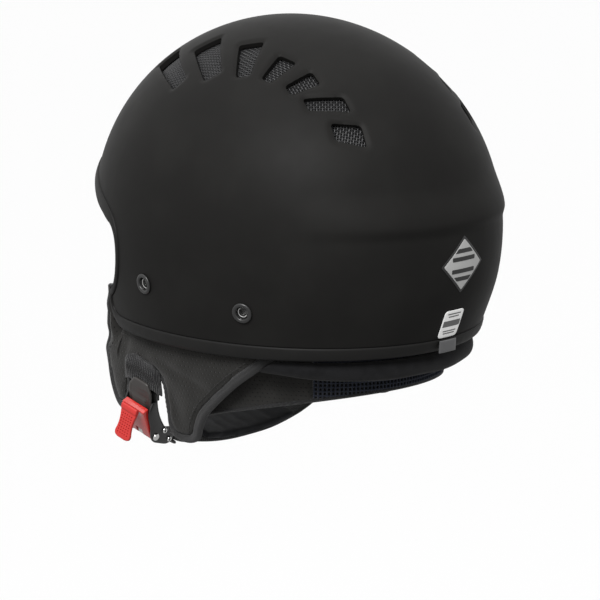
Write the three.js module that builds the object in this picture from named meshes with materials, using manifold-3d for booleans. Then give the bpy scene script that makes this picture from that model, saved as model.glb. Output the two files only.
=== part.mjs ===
// An open-face scooter helmet: shell, linings, soft ear flaps, neck pads and a chin strap with a
// ratchet buckle. Millimetres, +Z up. The wearer faces -Y and the wearer's left is +X.
// The origin is on the head's axis, level with the lower edge of the shell.
import * as THREE from "three";
import { mergeVertices } from "three/addons/utils/BufferGeometryUtils.js";
import Module from "manifold-3d";

const wasm = await Module();
wasm.setup();

// ---- driving dimensions ------------------------------------------------------------------
const SHELL = { halfWidth: 110, front: 132, rear: 133.5, height: 177, equator: 55, wall: 4 };
const TUCK = { side: 0.07, front: 0.03, rear: 0.09 }; // how far the lower edge draws in
// A lip round the back of the shell: it stands proud at its edge and fades out above, and the
// shell below it stays a little fuller down to the belly.
const LIP = {
  edge: 70, under: 62, fade: 91, proud: 3.2, belly: 0.9, bellyFrom: 6, bellyTo: 30, spread: 58,
};
const MESH_LAYER = [4.8, 5.5]; // distances in from the shell's outer surface
const FOAM_LAYER = [7, 22];
const PAD_LAYER = [22.9, 28];
const TRIM = { gap: 1.6, edgeDepth: 4.6, rimDepth: 10, proud: 0.9, inside: 5 };
const FLAP = { thick: 7, pipe: 2, pipeGap: 0.5, lining: 2.6, topZ: -1, tuckedIn: 8.2 };
const NECK_ROLL = { side: 93, rear: 110, half: 5.5, topZ: -11.2, rearTall: 5.8, sideTall: 3.2 };
const CURTAIN = { side: 83.2, rear: 100.5, thick: 4, topZ: -1, lowRear: -33, lowSide: -54 };
const SNAPS = { front: [-19, 27.4], rear: [52.3, 19.5], hole: 5, flange: 6.1, bore: 3.7, stud: 3.2 };
const STRAP = { width: 20, thick: 2, tilt: -15, pivotY: -41, pivotZ: -45 };
const BUCKLE = { x: 41.9, z: 10.5, radius: 50, width: 20, wall: 1.2, pinAngle: 42, pinRadius: 54.6 };
const GAP = 0.3;

// The lower edge of the shell from the side, as y and z: the level rim from the back, the
// forward-pointing corner, then the face opening up to the brow.
const RIM_END = -52;
const OPENING = [
  [-52, 0], [-60, 0.7], [-65, 4.5], [-64, 10], [-57.5, 14.8], [-51.3, 21.7], [-46.7, 31.5],
  [-44.8, 43], [-46.5, 54], [-52, 62.8], [-62, 69], [-77.5, 75], [-91, 81.3], [-107, 87.5],
  [-122, 91], [-140, 92],
];

// Vent slots of the left half, seen from above: the narrow end low on the side, the wide end
// near the crown, and the slot's width at each. The skew slants both ends of a slot.
const VENTS = [
  { low: [75, -22], high: [43.3, -64.2], lowWidth: 10.5, highWidth: 16 },
  { low: [71, 1.7], high: [46.8, -27.4], lowWidth: 12, highWidth: 18.5 },
  { low: [66.7, 22.2], high: [45.5, 8.3], lowWidth: 9, highWidth: 15.7 },
  { low: [63.5, 37.6], high: [46.6, 39], lowWidth: 7.5, highWidth: 13.5 },
  { low: [61.2, 53], high: [46.1, 61], lowWidth: 8, highWidth: 11.5 },
  { low: [60.2, 66.3], high: [43.5, 83.2], lowWidth: 8.5, highWidth: 10.5, skew: 4 },
  { low: [57.8, 85.5], high: [45.3, 98.2], lowWidth: 10.5, highWidth: 13, skew: 4.5 },
];

// Outline of an ear flap from the side, as y and z: down its front edge, round the notch that
// the strap comes out of, along the bottom and up the back edge.
const FLAP_EDGE = [
  [-65, -1], [-71, -10.3], [-77.8, -25.4], [-79.1, -41.1], [-76.9, -51.8], [-71.8, -59.2],
  [-63.4, -59.4], [-58.5, -50.2], [-55.8, -38.3], [-51, -29], [-44, -27.4], [-36, -29.4],
  [-28.5, -31.4], [-23.7, -36.8], [-22.6, -49.2], [-21, -60.9], [-15.9, -67.6], [-5.8, -68.8], [1.5, -65.7],
  [4.6, -58.4], [10.2, -49.5], [19.7, -40.5], [34.3, -28.1], [49.8, -16.2], [66, -1],
];

// ---- materials ---------------------------------------------------------------------------
const FINISHES = {
  shell: [0x2b2b2b, 0.55, 0], rubber: [0x1f1f1f, 0.7, 0], mesh: [0x1c1c1e, 0.8, 0],
  foam: [0x3a3a3a, 0.9, 0], lining: [0x2c2d30, 0.95, 0], flap: [0x2f2f2d, 0.95, 0],
  binding: [0x232323, 0.85, 0], neck: [0x121212, 0.95, 0], spacer: [0x23262f, 0.95, 0],
  webbing: [0x151515, 0.9, 0], blackSteel: [0x141414, 0.35, 0.6], chrome: [0xc8c8c8, 0.2, 1],
  greyPlastic: [0x4a4642, 0.6, 0], redPlastic: [0xb3211c, 0.3, 0], redRubber: [0xc52a22, 0.6, 0],
  silver: [0xc9c9c7, 0.5, 0], label: [0xd8d8d5, 0.6, 0], darkLabel: [0x3c3c3c, 0.6, 0],
};
const materials = {};
for (const [name, [color, roughness, metalness]] of Object.entries(FINISHES)) {
  materials[name] = new THREE.MeshStandardMaterial({ color, roughness, metalness });
}

// ---- solids from meshes and back -----------------------------------------------------------
function solidOf(geometry) {
  const plain = new THREE.BufferGeometry();
  plain.setAttribute("position", geometry.getAttribute("position"));
  if (geometry.index) plain.setIndex(geometry.index);
  const merged = mergeVertices(plain, 1e-4);
  const corners = merged.index.array;
  const build = (order) => {
    const triVerts = [];
    for (let i = 0; i < corners.length; i += 3) {
      const [a, b, c] = [corners[i], corners[i + 1], corners[i + 2]];
      if (a !== b && b !== c && c !== a) triVerts.push(...order(a, b, c));
    }
    const vertProperties = merged.attributes.position.array;
    const mesh = new wasm.Mesh({ numProp: 3, vertProperties, triVerts: new Uint32Array(triVerts) });
    return new wasm.Manifold(mesh);
  };
  const made = build((a, b, c) => [a, b, c]);
  return made.volume() > 0 ? made : build((a, b, c) => [a, c, b]);
}

function geometryOf(made) {
  const { vertProperties, triVerts, numProp } = made.getMesh();
  const count = vertProperties.length / numProp;
  const positions = new Float32Array(count * 3);
  for (let i = 0; i < count; i++) {
    positions.set(vertProperties.subarray(i * numProp, i * numProp + 3), i * 3);
  }
  const geometry = new THREE.BufferGeometry();
  geometry.setAttribute("position", new THREE.BufferAttribute(positions, 3));
  geometry.setIndex(new THREE.BufferAttribute(new Uint32Array(triVerts), 1));
  geometry.computeVertexNormals();
  return geometry;
}

const cut = (body, ...tools) => tools.reduce((left, tool) => left.subtract(tool), body);
const join = (body, ...others) => others.reduce((left, other) => left.add(other), body);

// Rings of equal length joined one to the next. A closed run joins its last ring to its first,
// an open one is capped at both ends from the middle of the end ring.
function loft(rings, closed) {
  const count = rings[0].length;
  const points = rings.flat();
  const index = [];
  const spans = closed ? rings.length : rings.length - 1;
  for (let i = 0; i < spans; i++) {
    const here = i * count;
    const next = ((i + 1) % rings.length) * count;
    for (let j = 0; j < count; j++) {
      const k = (j + 1) % count;
      index.push(here + j, next + j, next + k, here + j, next + k, here + k);
    }
  }
  if (!closed) {
    for (const [ring, flip] of [[0, true], [rings.length - 1, false]]) {
      const middle = new THREE.Vector3();
      rings[ring].forEach((point) => middle.addScaledVector(point, 1 / count));
      const centre = points.push(middle) - 1;
      for (let j = 0; j < count; j++) {
        const edge = [ring * count + j, ring * count + ((j + 1) % count)];
        index.push(centre, ...(flip ? edge : edge.reverse()));
      }
    }
  }
  const geometry = new THREE.BufferGeometry().setFromPoints(points);
  return solidOf(geometry.setIndex(index));
}

// A curved sheet with a front face and a back face over a grid of u and v from 0 to 1.
function sheet(columns, rows, front, back) {
  const at = (face, i, j) => face(i / columns, j / rows);
  const corners = [];
  const grid = (i, j) => i * (rows + 1) + j;
  const points = [];
  for (const face of [front, back]) {
    for (let i = 0; i <= columns; i++) {
      for (let j = 0; j <= rows; j++) points.push(at(face, i, j));
    }
  }
  const behind = (columns + 1) * (rows + 1);
  const quad = (a, b, c, d) => corners.push(a, b, c, a, c, d);
  for (let i = 0; i < columns; i++) {
    for (let j = 0; j < rows; j++) {
      const cell = [grid(i, j), grid(i + 1, j), grid(i + 1, j + 1), grid(i, j + 1)];
      quad(...cell);
      const [a, b, c, d] = cell.map((corner) => corner + behind);
      quad(a, d, c, b);
    }
  }
  const wall = (a, b) => quad(b, a, a + behind, b + behind);
  for (let i = 0; i < columns; i++) {
    wall(grid(i, 0), grid(i + 1, 0));
    wall(grid(i + 1, rows), grid(i, rows));
  }
  for (let j = 0; j < rows; j++) {
    wall(grid(columns, j), grid(columns, j + 1));
    wall(grid(0, j + 1), grid(0, j));
  }
  return solidOf(new THREE.BufferGeometry().setFromPoints(points).setIndex(corners));
}

// A flat outline pushed along one axis. prismX takes y and z, prismY takes x and z.
function extrude(outline, depth) {
  const shape = new THREE.Shape(outline.map(([a, b]) => new THREE.Vector2(a, b)));
  return new THREE.ExtrudeGeometry(shape, { depth, bevelEnabled: false });
}
const axisX = new THREE.Vector3(1, 0, 0);
const axisY = new THREE.Vector3(0, 1, 0);
const axisZ = new THREE.Vector3(0, 0, 1);
const sideways = new THREE.Matrix4().makeBasis(axisY, axisZ, axisX);

function prismX(outline, from, to) {
  return solidOf(extrude(outline, to - from).applyMatrix4(sideways).translate(from, 0, 0));
}

function prismY(outline, width, middle = 0) {
  return solidOf(extrude(outline, width).rotateX(Math.PI / 2).translate(0, middle + width / 2, 0));
}

function box(low, high) {
  const size = high.map((value, i) => value - low[i]);
  const middle = high.map((value, i) => (value + low[i]) / 2);
  return solidOf(new THREE.BoxGeometry(...size).translate(...middle));
}

const mirrorX = (made) => made.mirror([1, 0, 0]);

// ---- the shell's surface -------------------------------------------------------------------
const smooth = (from, to, value) => THREE.MathUtils.smoothstep(value, from, to);

// Half axes of the level section at height z, a given distance in from the outer surface.
function section(z, inset = 0) {
  const half = [SHELL.halfWidth, SHELL.front, SHELL.rear].map((axis) => axis - inset);
  const top = SHELL.height - inset - SHELL.equator;
  if (z >= SHELL.equator) {
    const scale = Math.sqrt(Math.max(0, 1 - ((z - SHELL.equator) / top) ** 2));
    return half.map((axis) => axis * scale);
  }
  const drop = ((SHELL.equator - z) / SHELL.equator) ** 2;
  const tuck = [TUCK.side, TUCK.front, TUCK.rear];
  return half.map((axis, i) => axis * (1 - tuck[i] * drop));
}

// How far the lip and the belly below it stand out of the plain surface round the back.
function lipHeight(angle, z) {
  const fromBack = Math.abs(THREE.MathUtils.radToDeg(angle) - 90);
  const around = 1 - smooth(LIP.spread * 0.4, LIP.spread, fromBack);
  const above = LIP.proud * (1 - smooth(LIP.edge, LIP.fade, z));
  const below = LIP.belly * smooth(LIP.bellyFrom, LIP.bellyTo, z);
  return around * THREE.MathUtils.lerp(below, above, smooth(LIP.under, LIP.edge, z));
}

// A point on the surface. The angle is 0 at the wearer's left and 90 degrees at the back.
function surfaceAt(angle, z, inset = 0) {
  const [side, front, rear] = section(z, inset);
  const [c, s] = [Math.cos(angle), Math.sin(angle)];
  const back = s > 0;
  const lip = back ? lipHeight(angle, z) : 0;
  return new THREE.Vector3((side + lip) * c, ((back ? rear : front) + lip) * s, z);
}

// The point of the left half that lies at a given y and z, or null beyond the shell.
function surfaceFromSide(y, z, inset = 0) {
  const [, front, rear] = section(z, inset);
  const sine = y / (y < 0 ? front : rear);
  return Math.abs(sine) >= 1 ? null : surfaceAt(Math.asin(sine), z, inset);
}

function heightAbove(x, y) {
  const along = (x / SHELL.halfWidth) ** 2 + (y / (y < 0 ? SHELL.front : SHELL.rear)) ** 2;
  return SHELL.equator + (SHELL.height - SHELL.equator) * Math.sqrt(Math.max(0, 1 - along));
}

function surfaceNormal(angle, z) {
  const turn = 0.01;
  const rise = 0.5;
  const around = surfaceAt(angle + turn, z).sub(surfaceAt(angle - turn, z));
  const up = surfaceAt(angle, z + rise).sub(surfaceAt(angle, z - rise));
  return around.cross(up).normalize();
}

// A dome between two distances in from the outer surface, open below lowZ.
function dome([outer, inner], lowZ, around, lowRows, highRows, extra = []) {
  const ringsOf = (inset) => {
    const levels = [...extra];
    for (let i = 0; i < lowRows; i++) levels.push(lowZ + ((SHELL.equator - lowZ) * i) / lowRows);
    const top = SHELL.height - inset - SHELL.equator;
    for (let i = 0; i <= highRows; i++) {
      levels.push(SHELL.equator + top * Math.sin((Math.PI / 2) * (i / highRows)));
    }
    return levels.sort((a, b) => a - b).map((z) => {
      const ring = [];
      for (let j = 0; j < around; j++) {
        const angle = (2 * Math.PI * j) / around;
        const signed = angle > Math.PI ? angle - 2 * Math.PI : angle;
        ring.push(surfaceAt(signed, z, inset));
      }
      return ring;
    });
  };
  return loft([...ringsOf(outer), ...ringsOf(inner).reverse()], true);
}

// ---- the shell's lower edge ------------------------------------------------------------------
const flat = ([y, z]) => new THREE.Vector3(0, y, z);
const openingCurve = new THREE.CatmullRomCurve3(OPENING.map(flat), false, "centripetal");

function edgeFromSide(steps) {
  const line = openingCurve.getPoints(steps).map((point) => [point.y, point.z]);
  return [[150, 0], ...line];
}

// An outline moved sideways by a distance, to its left as it runs.
function offset(outline, distance) {
  return outline.map(([a, b], i) => {
    const before = outline[Math.max(0, i - 1)];
    const after = outline[Math.min(outline.length - 1, i + 1)];
    const [da, db] = [after[0] - before[0], after[1] - before[1]];
    const length = Math.hypot(da, db);
    return [a - (db / length) * distance, b + (da / length) * distance];
  });
}

// The same, without the points that would loop back over themselves at a tight bend.
function offsetClear(outline, distance) {
  const reach = Math.abs(distance) * 0.97;
  const clear = ([a, b]) => outline.every(([c, d]) => Math.hypot(a - c, b - d) >= reach);
  return offset(outline, distance).filter(clear);
}

// Everything below and in front of the shell's edge, moved up into the shell by a margin.
function openingTool(margin) {
  const edge = offsetClear(edgeFromSide(margin ? 36 : 56), -margin);
  const far = 200;
  const last = edge[edge.length - 1];
  const outline = [[far, -80], [far, edge[0][1]], ...edge, [-far, last[1]], [-far, -80]];
  return prismX(outline, -far, far);
}

// The left half of the edge in space, from the back to the brow, thinned to what its bends need.
function edgeInSpace() {
  const dense = [];
  const [, , rear] = section(0);
  for (let i = 0; i <= 300; i++) {
    const angle = Math.PI / 2 - (i / 300) * (Math.PI / 2 - Math.asin(RIM_END / section(0)[1]));
    dense.push(i === 0 ? new THREE.Vector3(0, rear, 0) : surfaceAt(angle, 0));
  }
  for (const point of openingCurve.getPoints(1200).slice(1)) {
    const there = surfaceFromSide(point.y, point.z);
    if (there) dense.push(there);
  }
  const brow = dense[dense.length - 1];
  dense[dense.length - 1] = new THREE.Vector3(0, -section(brow.z)[1], brow.z);
  return thin(dense, 0.25);
}

function thin(points, tolerance) {
  const line = new THREE.Line3(points[0], points[points.length - 1]);
  const near = new THREE.Vector3();
  let [worst, far] = [0, 0];
  points.forEach((point, i) => {
    const away = line.closestPointToPoint(point, true, near).distanceTo(point);
    if (away > far) [worst, far] = [i, away];
  });
  if (far < tolerance) return [points[0], points[points.length - 1]];
  const head = thin(points.slice(0, worst + 1), tolerance);
  return [...head.slice(0, -1), ...thin(points.slice(worst), tolerance)];
}

const across = (point) => new THREE.Vector3(-point.x, point.y, point.z);

function angleOf(point) {
  const [side, front, rear] = section(point.z);
  return Math.atan2(point.y / (point.y < 0 ? front : rear), point.x / side);
}

// The rubber trim: a rounded bar that follows the shell's edge all the way round.
function trim() {
  const left = edgeInSpace();
  const right = left.slice(1, -1).reverse().map(across);
  const loop = [...left, ...right];
  const rings = loop.map((point, i) => {
    const before = loop[(i + loop.length - 1) % loop.length];
    const after = loop[(i + 1) % loop.length];
    const along = after.clone().sub(before).normalize();
    const out = surfaceNormal(angleOf(point), point.z);
    const away = out.clone().cross(along).normalize();
    const down = Math.max(0, -away.z) ** 2;
    const depth = THREE.MathUtils.lerp(TRIM.edgeDepth, TRIM.rimDepth, down);
    const profile = [
      [TRIM.gap, TRIM.proud], [depth - 1.5, TRIM.proud], [depth, -0.8],
      [depth, 1.2 - TRIM.inside], [depth - 1.2, -TRIM.inside], [TRIM.gap + 1.2, -TRIM.inside],
    ];
    return profile.map(([a, b]) => point.clone().addScaledVector(away, a).addScaledVector(out, b));
  });
  return loft(rings, true);
}

// ---- vents -------------------------------------------------------------------------------
// A tapered slot that runs through the shell along its normal, between two depths.
function ventTool(vent, shrink, deep, high) {
  const end = ([x, y]) => new THREE.Vector3(x, y, heightAbove(x, y));
  const [low, top] = [end(vent.low), end(vent.high)];
  const along = top.clone().sub(low);
  const half = along.length() / 2 - shrink;
  const middle = low.clone().add(top).multiplyScalar(0.5);
  const normal = surfaceNormal(angleOf(middle), heightAbove(middle.x, middle.y));
  along.normalize();
  const sideward = normal.clone().cross(along).normalize();
  const out = along.clone().cross(sideward);
  const [a, b] = [vent.lowWidth / 2 - shrink, vent.highWidth / 2 - shrink];
  const corner = Math.min(2, a * 0.6);
  const straight = shrink ? [[-half, -a], [half, -b], [half, b], [-half, a]] : [
    [-half, corner - a], [corner - half, -a], [half - corner, -b], [half, corner - b],
    [half, b - corner], [half - corner, b], [corner - half, a], [-half, a - corner],
  ];
  const slant = (vent.skew ?? 0) / (vent.lowWidth + vent.highWidth);
  const outline = straight.map(([u, v]) => [u - 2 * slant * v, v]);
  const placed = new THREE.Matrix4().makeBasis(along, sideward, out).setPosition(middle);
  return solidOf(extrude(outline, high - deep).translate(0, 0, deep).applyMatrix4(placed));
}

function ventTools(shrink, deep, high) {
  const left = VENTS.map((vent) => ventTool(vent, shrink, deep, high));
  return [...left, ...left.map(mirrorX)];
}

// ---- visor snaps ---------------------------------------------------------------------------
// A frame at a snap: its origin on the surface and its Z axis pointing out of the shell.
function snapFrame([y, z], side) {
  const place = surfaceFromSide(y, z);
  const out = surfaceNormal(angleOf(place), z);
  place.x *= side;
  out.x *= side;
  const turn = new THREE.Quaternion().setFromUnitVectors(axisZ, out);
  return new THREE.Matrix4().compose(place, turn, new THREE.Vector3(1, 1, 1));
}

function turned(profile, segments = 14) {
  const lathe = new THREE.LatheGeometry(profile.map(([r, h]) => new THREE.Vector2(r, h)), segments);
  return lathe.rotateX(Math.PI / 2);
}

function disc(radius, from, to, segments = 14) {
  return turned([[0, from], [radius, from], [radius, to], [0, to]], segments);
}

// ---- ear flaps -----------------------------------------------------------------------------
const flapCurve = new THREE.CatmullRomCurve3(FLAP_EDGE.map(flat), false, "centripetal");

// How far out the flap's outer face lies: tucked inside the trim at its top, then hanging.
function flapFace(y, z) {
  const tucked = surfaceFromSide(y, 0).x - FLAP.tuckedIn;
  const hanging = 95.2 - (y + 6) ** 2 / 560;
  const lean = 0.13 * Math.max(0, -z - 8);
  return THREE.MathUtils.lerp(tucked, hanging, smooth(7, 26, -z)) - lean;
}

function flapSlab(from, to) {
  const face = (inset) => (u, v) => {
    const [y, z] = [-84 + 158 * u, -76 + 80 * v];
    return new THREE.Vector3(flapFace(y, z) - inset, y, z);
  };
  return sheet(10, 8, face(from), face(to));
}

function flapOutline(inset) {
  const edge = thin(flapCurve.getPoints(160), inset > 4 ? 0.8 : 0.35).map((point) => [point.y, point.z]);
  const inner = offsetClear(edge, inset).filter(([, z]) => z < FLAP.topZ - 0.5);
  return [[inner[0][0], FLAP.topZ], ...inner, [inner[inner.length - 1][0], FLAP.topZ]];
}

const flapBody = (from, to, inset) => flapSlab(from, to).intersect(prismX(flapOutline(inset), 40, 120));

function flapPiping() {
  const depth = FLAP.pipe + 1;
  const path = thin(flapCurve.getPoints(160), 0.35);
  const rings = path.map((point, i) => {
    const [before, after] = [path[Math.max(0, i - 1)], path[Math.min(path.length - 1, i + 1)]];
    const along = after.clone().sub(before).normalize();
    const inPlane = along.clone().cross(axisX);
    const ring = [];
    for (let j = 0; j < 6; j++) {
      const angle = (Math.PI / 3) * j;
      const place = point.clone().addScaledVector(inPlane, FLAP.pipe * Math.cos(angle));
      place.x = flapFace(point.y, point.z) - depth + FLAP.pipe * Math.sin(angle);
      ring.push(place);
    }
    return ring;
  });
  return loft(rings, false);
}

// ---- neck pads -----------------------------------------------------------------------------
function neckRoll() {
  const rings = [];
  const steps = 24;
  for (let i = 0; i <= steps; i++) {
    const angle = THREE.MathUtils.degToRad(10 + (160 * i) / steps);
    const fromBack = Math.abs(angle - Math.PI / 2) / (Math.PI / 2);
    const { rearTall, sideTall } = NECK_ROLL;
    const tall = THREE.MathUtils.lerp(rearTall, sideTall, smooth(0.3, 0.8, fromBack));
    const middle = NECK_ROLL.topZ - tall;
    const ring = [];
    for (let j = 0; j < 8; j++) {
      const around = (Math.PI / 4) * j;
      const out = NECK_ROLL.half * Math.cos(around);
      const x = (NECK_ROLL.side + out) * Math.cos(angle);
      const y = (NECK_ROLL.rear + out) * Math.sin(angle);
      ring.push(new THREE.Vector3(x, y, middle + tall * Math.sin(around)));
    }
    rings.push(ring);
  }
  return loft(rings, false);
}

function curtain(fromDegrees, toDegrees, columns) {
  const face = (inset) => (u, v) => {
    const degrees = THREE.MathUtils.lerp(fromDegrees, toDegrees, u);
    const angle = THREE.MathUtils.degToRad(degrees);
    const open = (Math.abs(90 - degrees) / 90) ** 2.1;
    const low = THREE.MathUtils.lerp(CURTAIN.lowRear, CURTAIN.lowSide, open);
    const z = THREE.MathUtils.lerp(low, CURTAIN.topZ, v);
    const lean = 0.09 * z - inset;
    const x = (CURTAIN.side + lean) * Math.cos(angle);
    return new THREE.Vector3(x, (CURTAIN.rear + lean) * Math.sin(angle), z);
  };
  return sheet(columns, 2, face(0), face(CURTAIN.thick));
}

// ---- strap and buckle, in the tilted plane of the strap --------------------------------------
// x is sideways, z runs up the strap and the buckle's plates are arcs about one centre.
const radians = THREE.MathUtils.degToRad;

function onArc(radius, degrees) {
  const angle = radians(degrees);
  return [BUCKLE.x + radius * Math.cos(angle), BUCKLE.z - radius * Math.sin(angle)];
}

function arcLine(radius, from, to, steps) {
  const line = [];
  for (let i = 0; i <= steps; i++) line.push(onArc(radius, from + ((to - from) * i) / steps));
  return line;
}

function arcPlate(inner, outer, from, to, width, middle = 0, steps = 10) {
  const outline = [...arcLine(inner, from, to, steps), ...arcLine(outer, to, from, steps)];
  return prismY(outline, width, middle);
}

// Webbing: a flat ribbon along a line of x and z.
function ribbon(route, thick, width, steps) {
  const points = route.map(([x, z]) => new THREE.Vector3(x, 0, z));
  const curve = new THREE.CatmullRomCurve3(points, false, "centripetal");
  const line = thin(curve.getPoints(steps), 0.12).map((point) => [point.x, point.z]);
  return prismY([...offset(line, thick / 2), ...offset(line, -thick / 2).reverse()], width);
}

// A round bar across the strap, centred on a point of the arc.
function crossBar(radius, [x, z], width, segments = 16) {
  const bar = new THREE.CylinderGeometry(radius, radius, width, segments);
  return solidOf(bar.translate(x, 0, z));
}

// A frame on the arc: Z points out of the buckle and X along its width.
function arcFrame(radius, degrees, across) {
  const angle = radians(degrees);
  const [x, z] = onArc(radius, degrees);
  const out = new THREE.Vector3(Math.cos(angle), 0, -Math.sin(angle));
  const up = new THREE.Vector3(Math.sin(angle), 0, Math.cos(angle));
  return new THREE.Matrix4().makeBasis(axisY, up, out).setPosition(x, across, z);
}

const place = (geometry, frame) => geometry.applyMatrix4(frame);

// The strap's route from its rivet to just above the buckle, then its end behind the buckle.
const STRAP_TOP = [
  [93.4, 71], [93.4, 58], [91.2, 53], [82, 51.5], [76.4, 48], [75.4, 40], [76, 22],
];
const STRAP_LEFT_END = [
  [80, 16.5], [84.5, 12.5], onArc(44.4, 2), onArc(44.4, 9), onArc(44.4, 16),
];
const CHIN_ROUTE = [
  onArc(47.6, 61), onArc(47.6, 67), onArc(47.6, 73), [48, -36.5], [28, -40.5], [0, -42.5],
  [-28, -40.5], [-50, -34.5], [-66, -24], [-75.5, -8], [-77.5, 8], [-76, 22],
  ...STRAP_TOP.slice(0, -1).reverse().map(([x, z]) => [-x, z]),
];
const ANCHOR = { z: 64, inner: 90.9 };

function strapAnchor() {
  const { inner } = ANCHOR;
  const plate = box([inner, -8, ANCHOR.z - 6], [inner + 1.2, 8, ANCHOR.z + 6]);
  const rod = (radius, from, to) => {
    const bar = new THREE.CylinderGeometry(radius, radius, to - from, 16).rotateZ(Math.PI / 2);
    return solidOf(bar.translate((from + to) / 2, 0, ANCHOR.z));
  };
  const rivetHead = rod(4, inner - 1.6, inner + 0.2);
  const rivet = rod(2.4, inner, inner + 5.4);
  return { body: join(plate, rivetHead, rivet), hole: rod(2.9, 90, 100) };
}

function tongue() {
  const [from, to, thick] = [2, 66, 2];
  const { radius } = BUCKLE;
  const teeth = [];
  for (let degrees = 44; degrees > 14; degrees -= 2) {
    teeth.push(onArc(radius + thick / 2, degrees), onArc(radius + thick / 2 + 0.7, degrees - 0.4));
  }
  const outline = [
    ...arcLine(radius - thick / 2, from, to, 16),
    ...arcLine(radius + thick / 2, to, 46, 4), ...teeth,
    ...arcLine(radius + thick / 2, 13, from, 4),
  ];
  const [half, tip, low] = [9.6, BUCKLE.z - 1.6, BUCKLE.z - 60];
  const shape = [
    [-half, low], [half, low], [half, tip - 9], [half - 1, tip - 3], [half - 3.8, tip],
    [3.8 - half, tip], [1 - half, tip - 3], [-half, tip - 9],
  ];
  return prismY(outline, 20).intersect(prismX(shape, 40, 120));
}

// The lever's heel turns about the pin, just clear of the tongue's teeth.
const LEVER_HEEL = 2.6;

function lever() {
  const { width, pinAngle, pinRadius } = BUCKLE;
  const [pinX, pinZ] = onArc(pinRadius, pinAngle);
  const heel = [180, 144, 108, 72, 36, 0].map((turn) => {
    const angle = radians(pinAngle + turn);
    return [pinX + LEVER_HEEL * Math.cos(angle), pinZ - LEVER_HEEL * Math.sin(angle)];
  });
  const outline = [
    ...arcLine(52.3, 19, 37, 5), ...heel, onArc(56.4, 36), onArc(56.1, 28), onArc(56.6, 19.6),
  ];
  const body = prismY(outline, width - 1);
  const pin = crossBar(1.6, onArc(pinRadius, pinAngle), width + 6);
  const springSlot = arcPlate(51, 60, 37.5, 51, 5.4);
  return cut(body, pin, springSlot);
}

function buckleFrame() {
  const { width, wall, pinAngle, pinRadius } = BUCKLE;
  const base = arcPlate(46, 47.3, -2, 50, width + 2 * wall);
  const ear = [
    ...arcLine(46, 57, 16, 6), onArc(50, 15), onArc(53.5, 22), onArc(55, 34), onArc(57.4, 40),
    onArc(57.6, 44), onArc(55.5, 49), onArc(53, 55), onArc(50, 58.5),
  ];
  const ears = [-1, 1].map((side) => prismY(ear, wall, (side * (width + wall)) / 2));
  return cut(join(base, ...ears), crossBar(1.6, onArc(pinRadius, pinAngle), width + 6));
}

function leverPin() {
  const { width, wall, pinAngle, pinRadius } = BUCKLE;
  const at = onArc(pinRadius, pinAngle);
  const head = (side) => {
    const cap = new THREE.CylinderGeometry(2.3, 2.3, 0.9, 16);
    return solidOf(cap.translate(at[0], side * (width / 2 + wall + GAP + 0.45), at[1]));
  };
  return join(crossBar(1.25, at, width + 2 * wall + 2 * GAP + 1), head(-1), head(1));
}

function leverSpring() {
  const ring = [[1.7, -2.3], [2.7, -2.3], [2.7, 2.3], [1.7, 2.3], [1.7, -2.3]];
  const [x, z] = onArc(BUCKLE.pinRadius, BUCKLE.pinAngle);
  return solidOf(turned(ring, 16).rotateX(Math.PI / 2).translate(x, 0, z));
}

const TAB = { radius: 57.4, angle: 20, length: 20, width: 13, thick: 1.8, lean: -8 };

function pullTab() {
  const half = TAB.width / 2;
  const outline = [[-half, 1.5], [-half, -8], [0.5 - half, 3 - TAB.length], [3 - half, -TAB.length],
    [half - 3, -TAB.length], [half - 0.5, 3 - TAB.length], [half, -8], [half, 1.5]];
  const body = extrude(outline, TAB.thick).applyMatrix4(sideways);
  const [x, z] = onArc(TAB.radius, TAB.angle);
  return solidOf(body.rotateY(radians(TAB.lean)).translate(x, 0, z));
}

// ---- assembly ------------------------------------------------------------------------------
const helmet = new THREE.Group();

function add(name, shape, material, parent = helmet) {
  const geometry = shape.isBufferGeometry ? shape : geometryOf(shape);
  const mesh = new THREE.Mesh(geometry, materials[material]);
  mesh.name = name;
  parent.add(mesh);
  return mesh;
}

function addPair(name, made, material) {
  add(`${name}_left`, made, material);
  add(`${name}_right`, mirrorX(made), material);
}

const snaps = [];
for (const [where, spot] of Object.entries({ front: SNAPS.front, rear: SNAPS.rear })) {
  for (const [hand, side] of [["left", 1], ["right", -1]]) {
    snaps.push({ name: `${where}_${hand}`, frame: snapFrame(spot, side) });
  }
}

const snapHoles = snaps.map(({ frame }) => solidOf(place(disc(SNAPS.hole, -9, 4), frame)));
const lipLevels = [LIP.under, LIP.edge, (LIP.edge + LIP.fade) / 2, LIP.fade];
const shell = dome([0, SHELL.wall], -12, 44, 4, 8, lipLevels);
add("outer_shell", cut(shell, openingTool(0), ...ventTools(0, -9, 9), ...snapHoles), "shell");
add("rim_trim", trim(), "rubber");

const joinerHalf = 7;
const joiner = sheet(4, 2, ...[2.3, 1.3].map((proud) => (u, v) => {
  const x = joinerHalf * (1 - 2 * u);
  const y = section(0)[2] + proud - 0.005 * x * x;
  return new THREE.Vector3(x, y - 0.06 * (8.4 - 8.2 * v), -8.4 + 7.4 * v);
}));
add("trim_joiner", joiner, "rubber");

for (const { name, frame } of snaps) {
  const { flange, bore, stud } = SNAPS;
  const ring = [[bore, -4.4], [4.6, -4.4], [4.6, 0.5], [flange, 0.5], [flange - 0.6, 1.5],
    [bore + 0.5, 1.5], [bore, 0.9], [bore, -4.4]];
  const studProfile = [[0, -4.4], [stud, -4.4], [stud, -2], [stud - 0.7, -1.3], [0, -1.3]];
  add(`snap_ring_${name}`, solidOf(place(turned(ring), frame)), "rubber");
  add(`snap_stud_${name}`, solidOf(place(turned(studProfile, 12), frame)), "chrome");
}

const meshRegion = box([32, -82, 90], [82, 110, 182]);
addPair("vent_mesh", dome(MESH_LAYER, 80, 40, 1, 7).intersect(meshRegion), "mesh");

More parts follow.
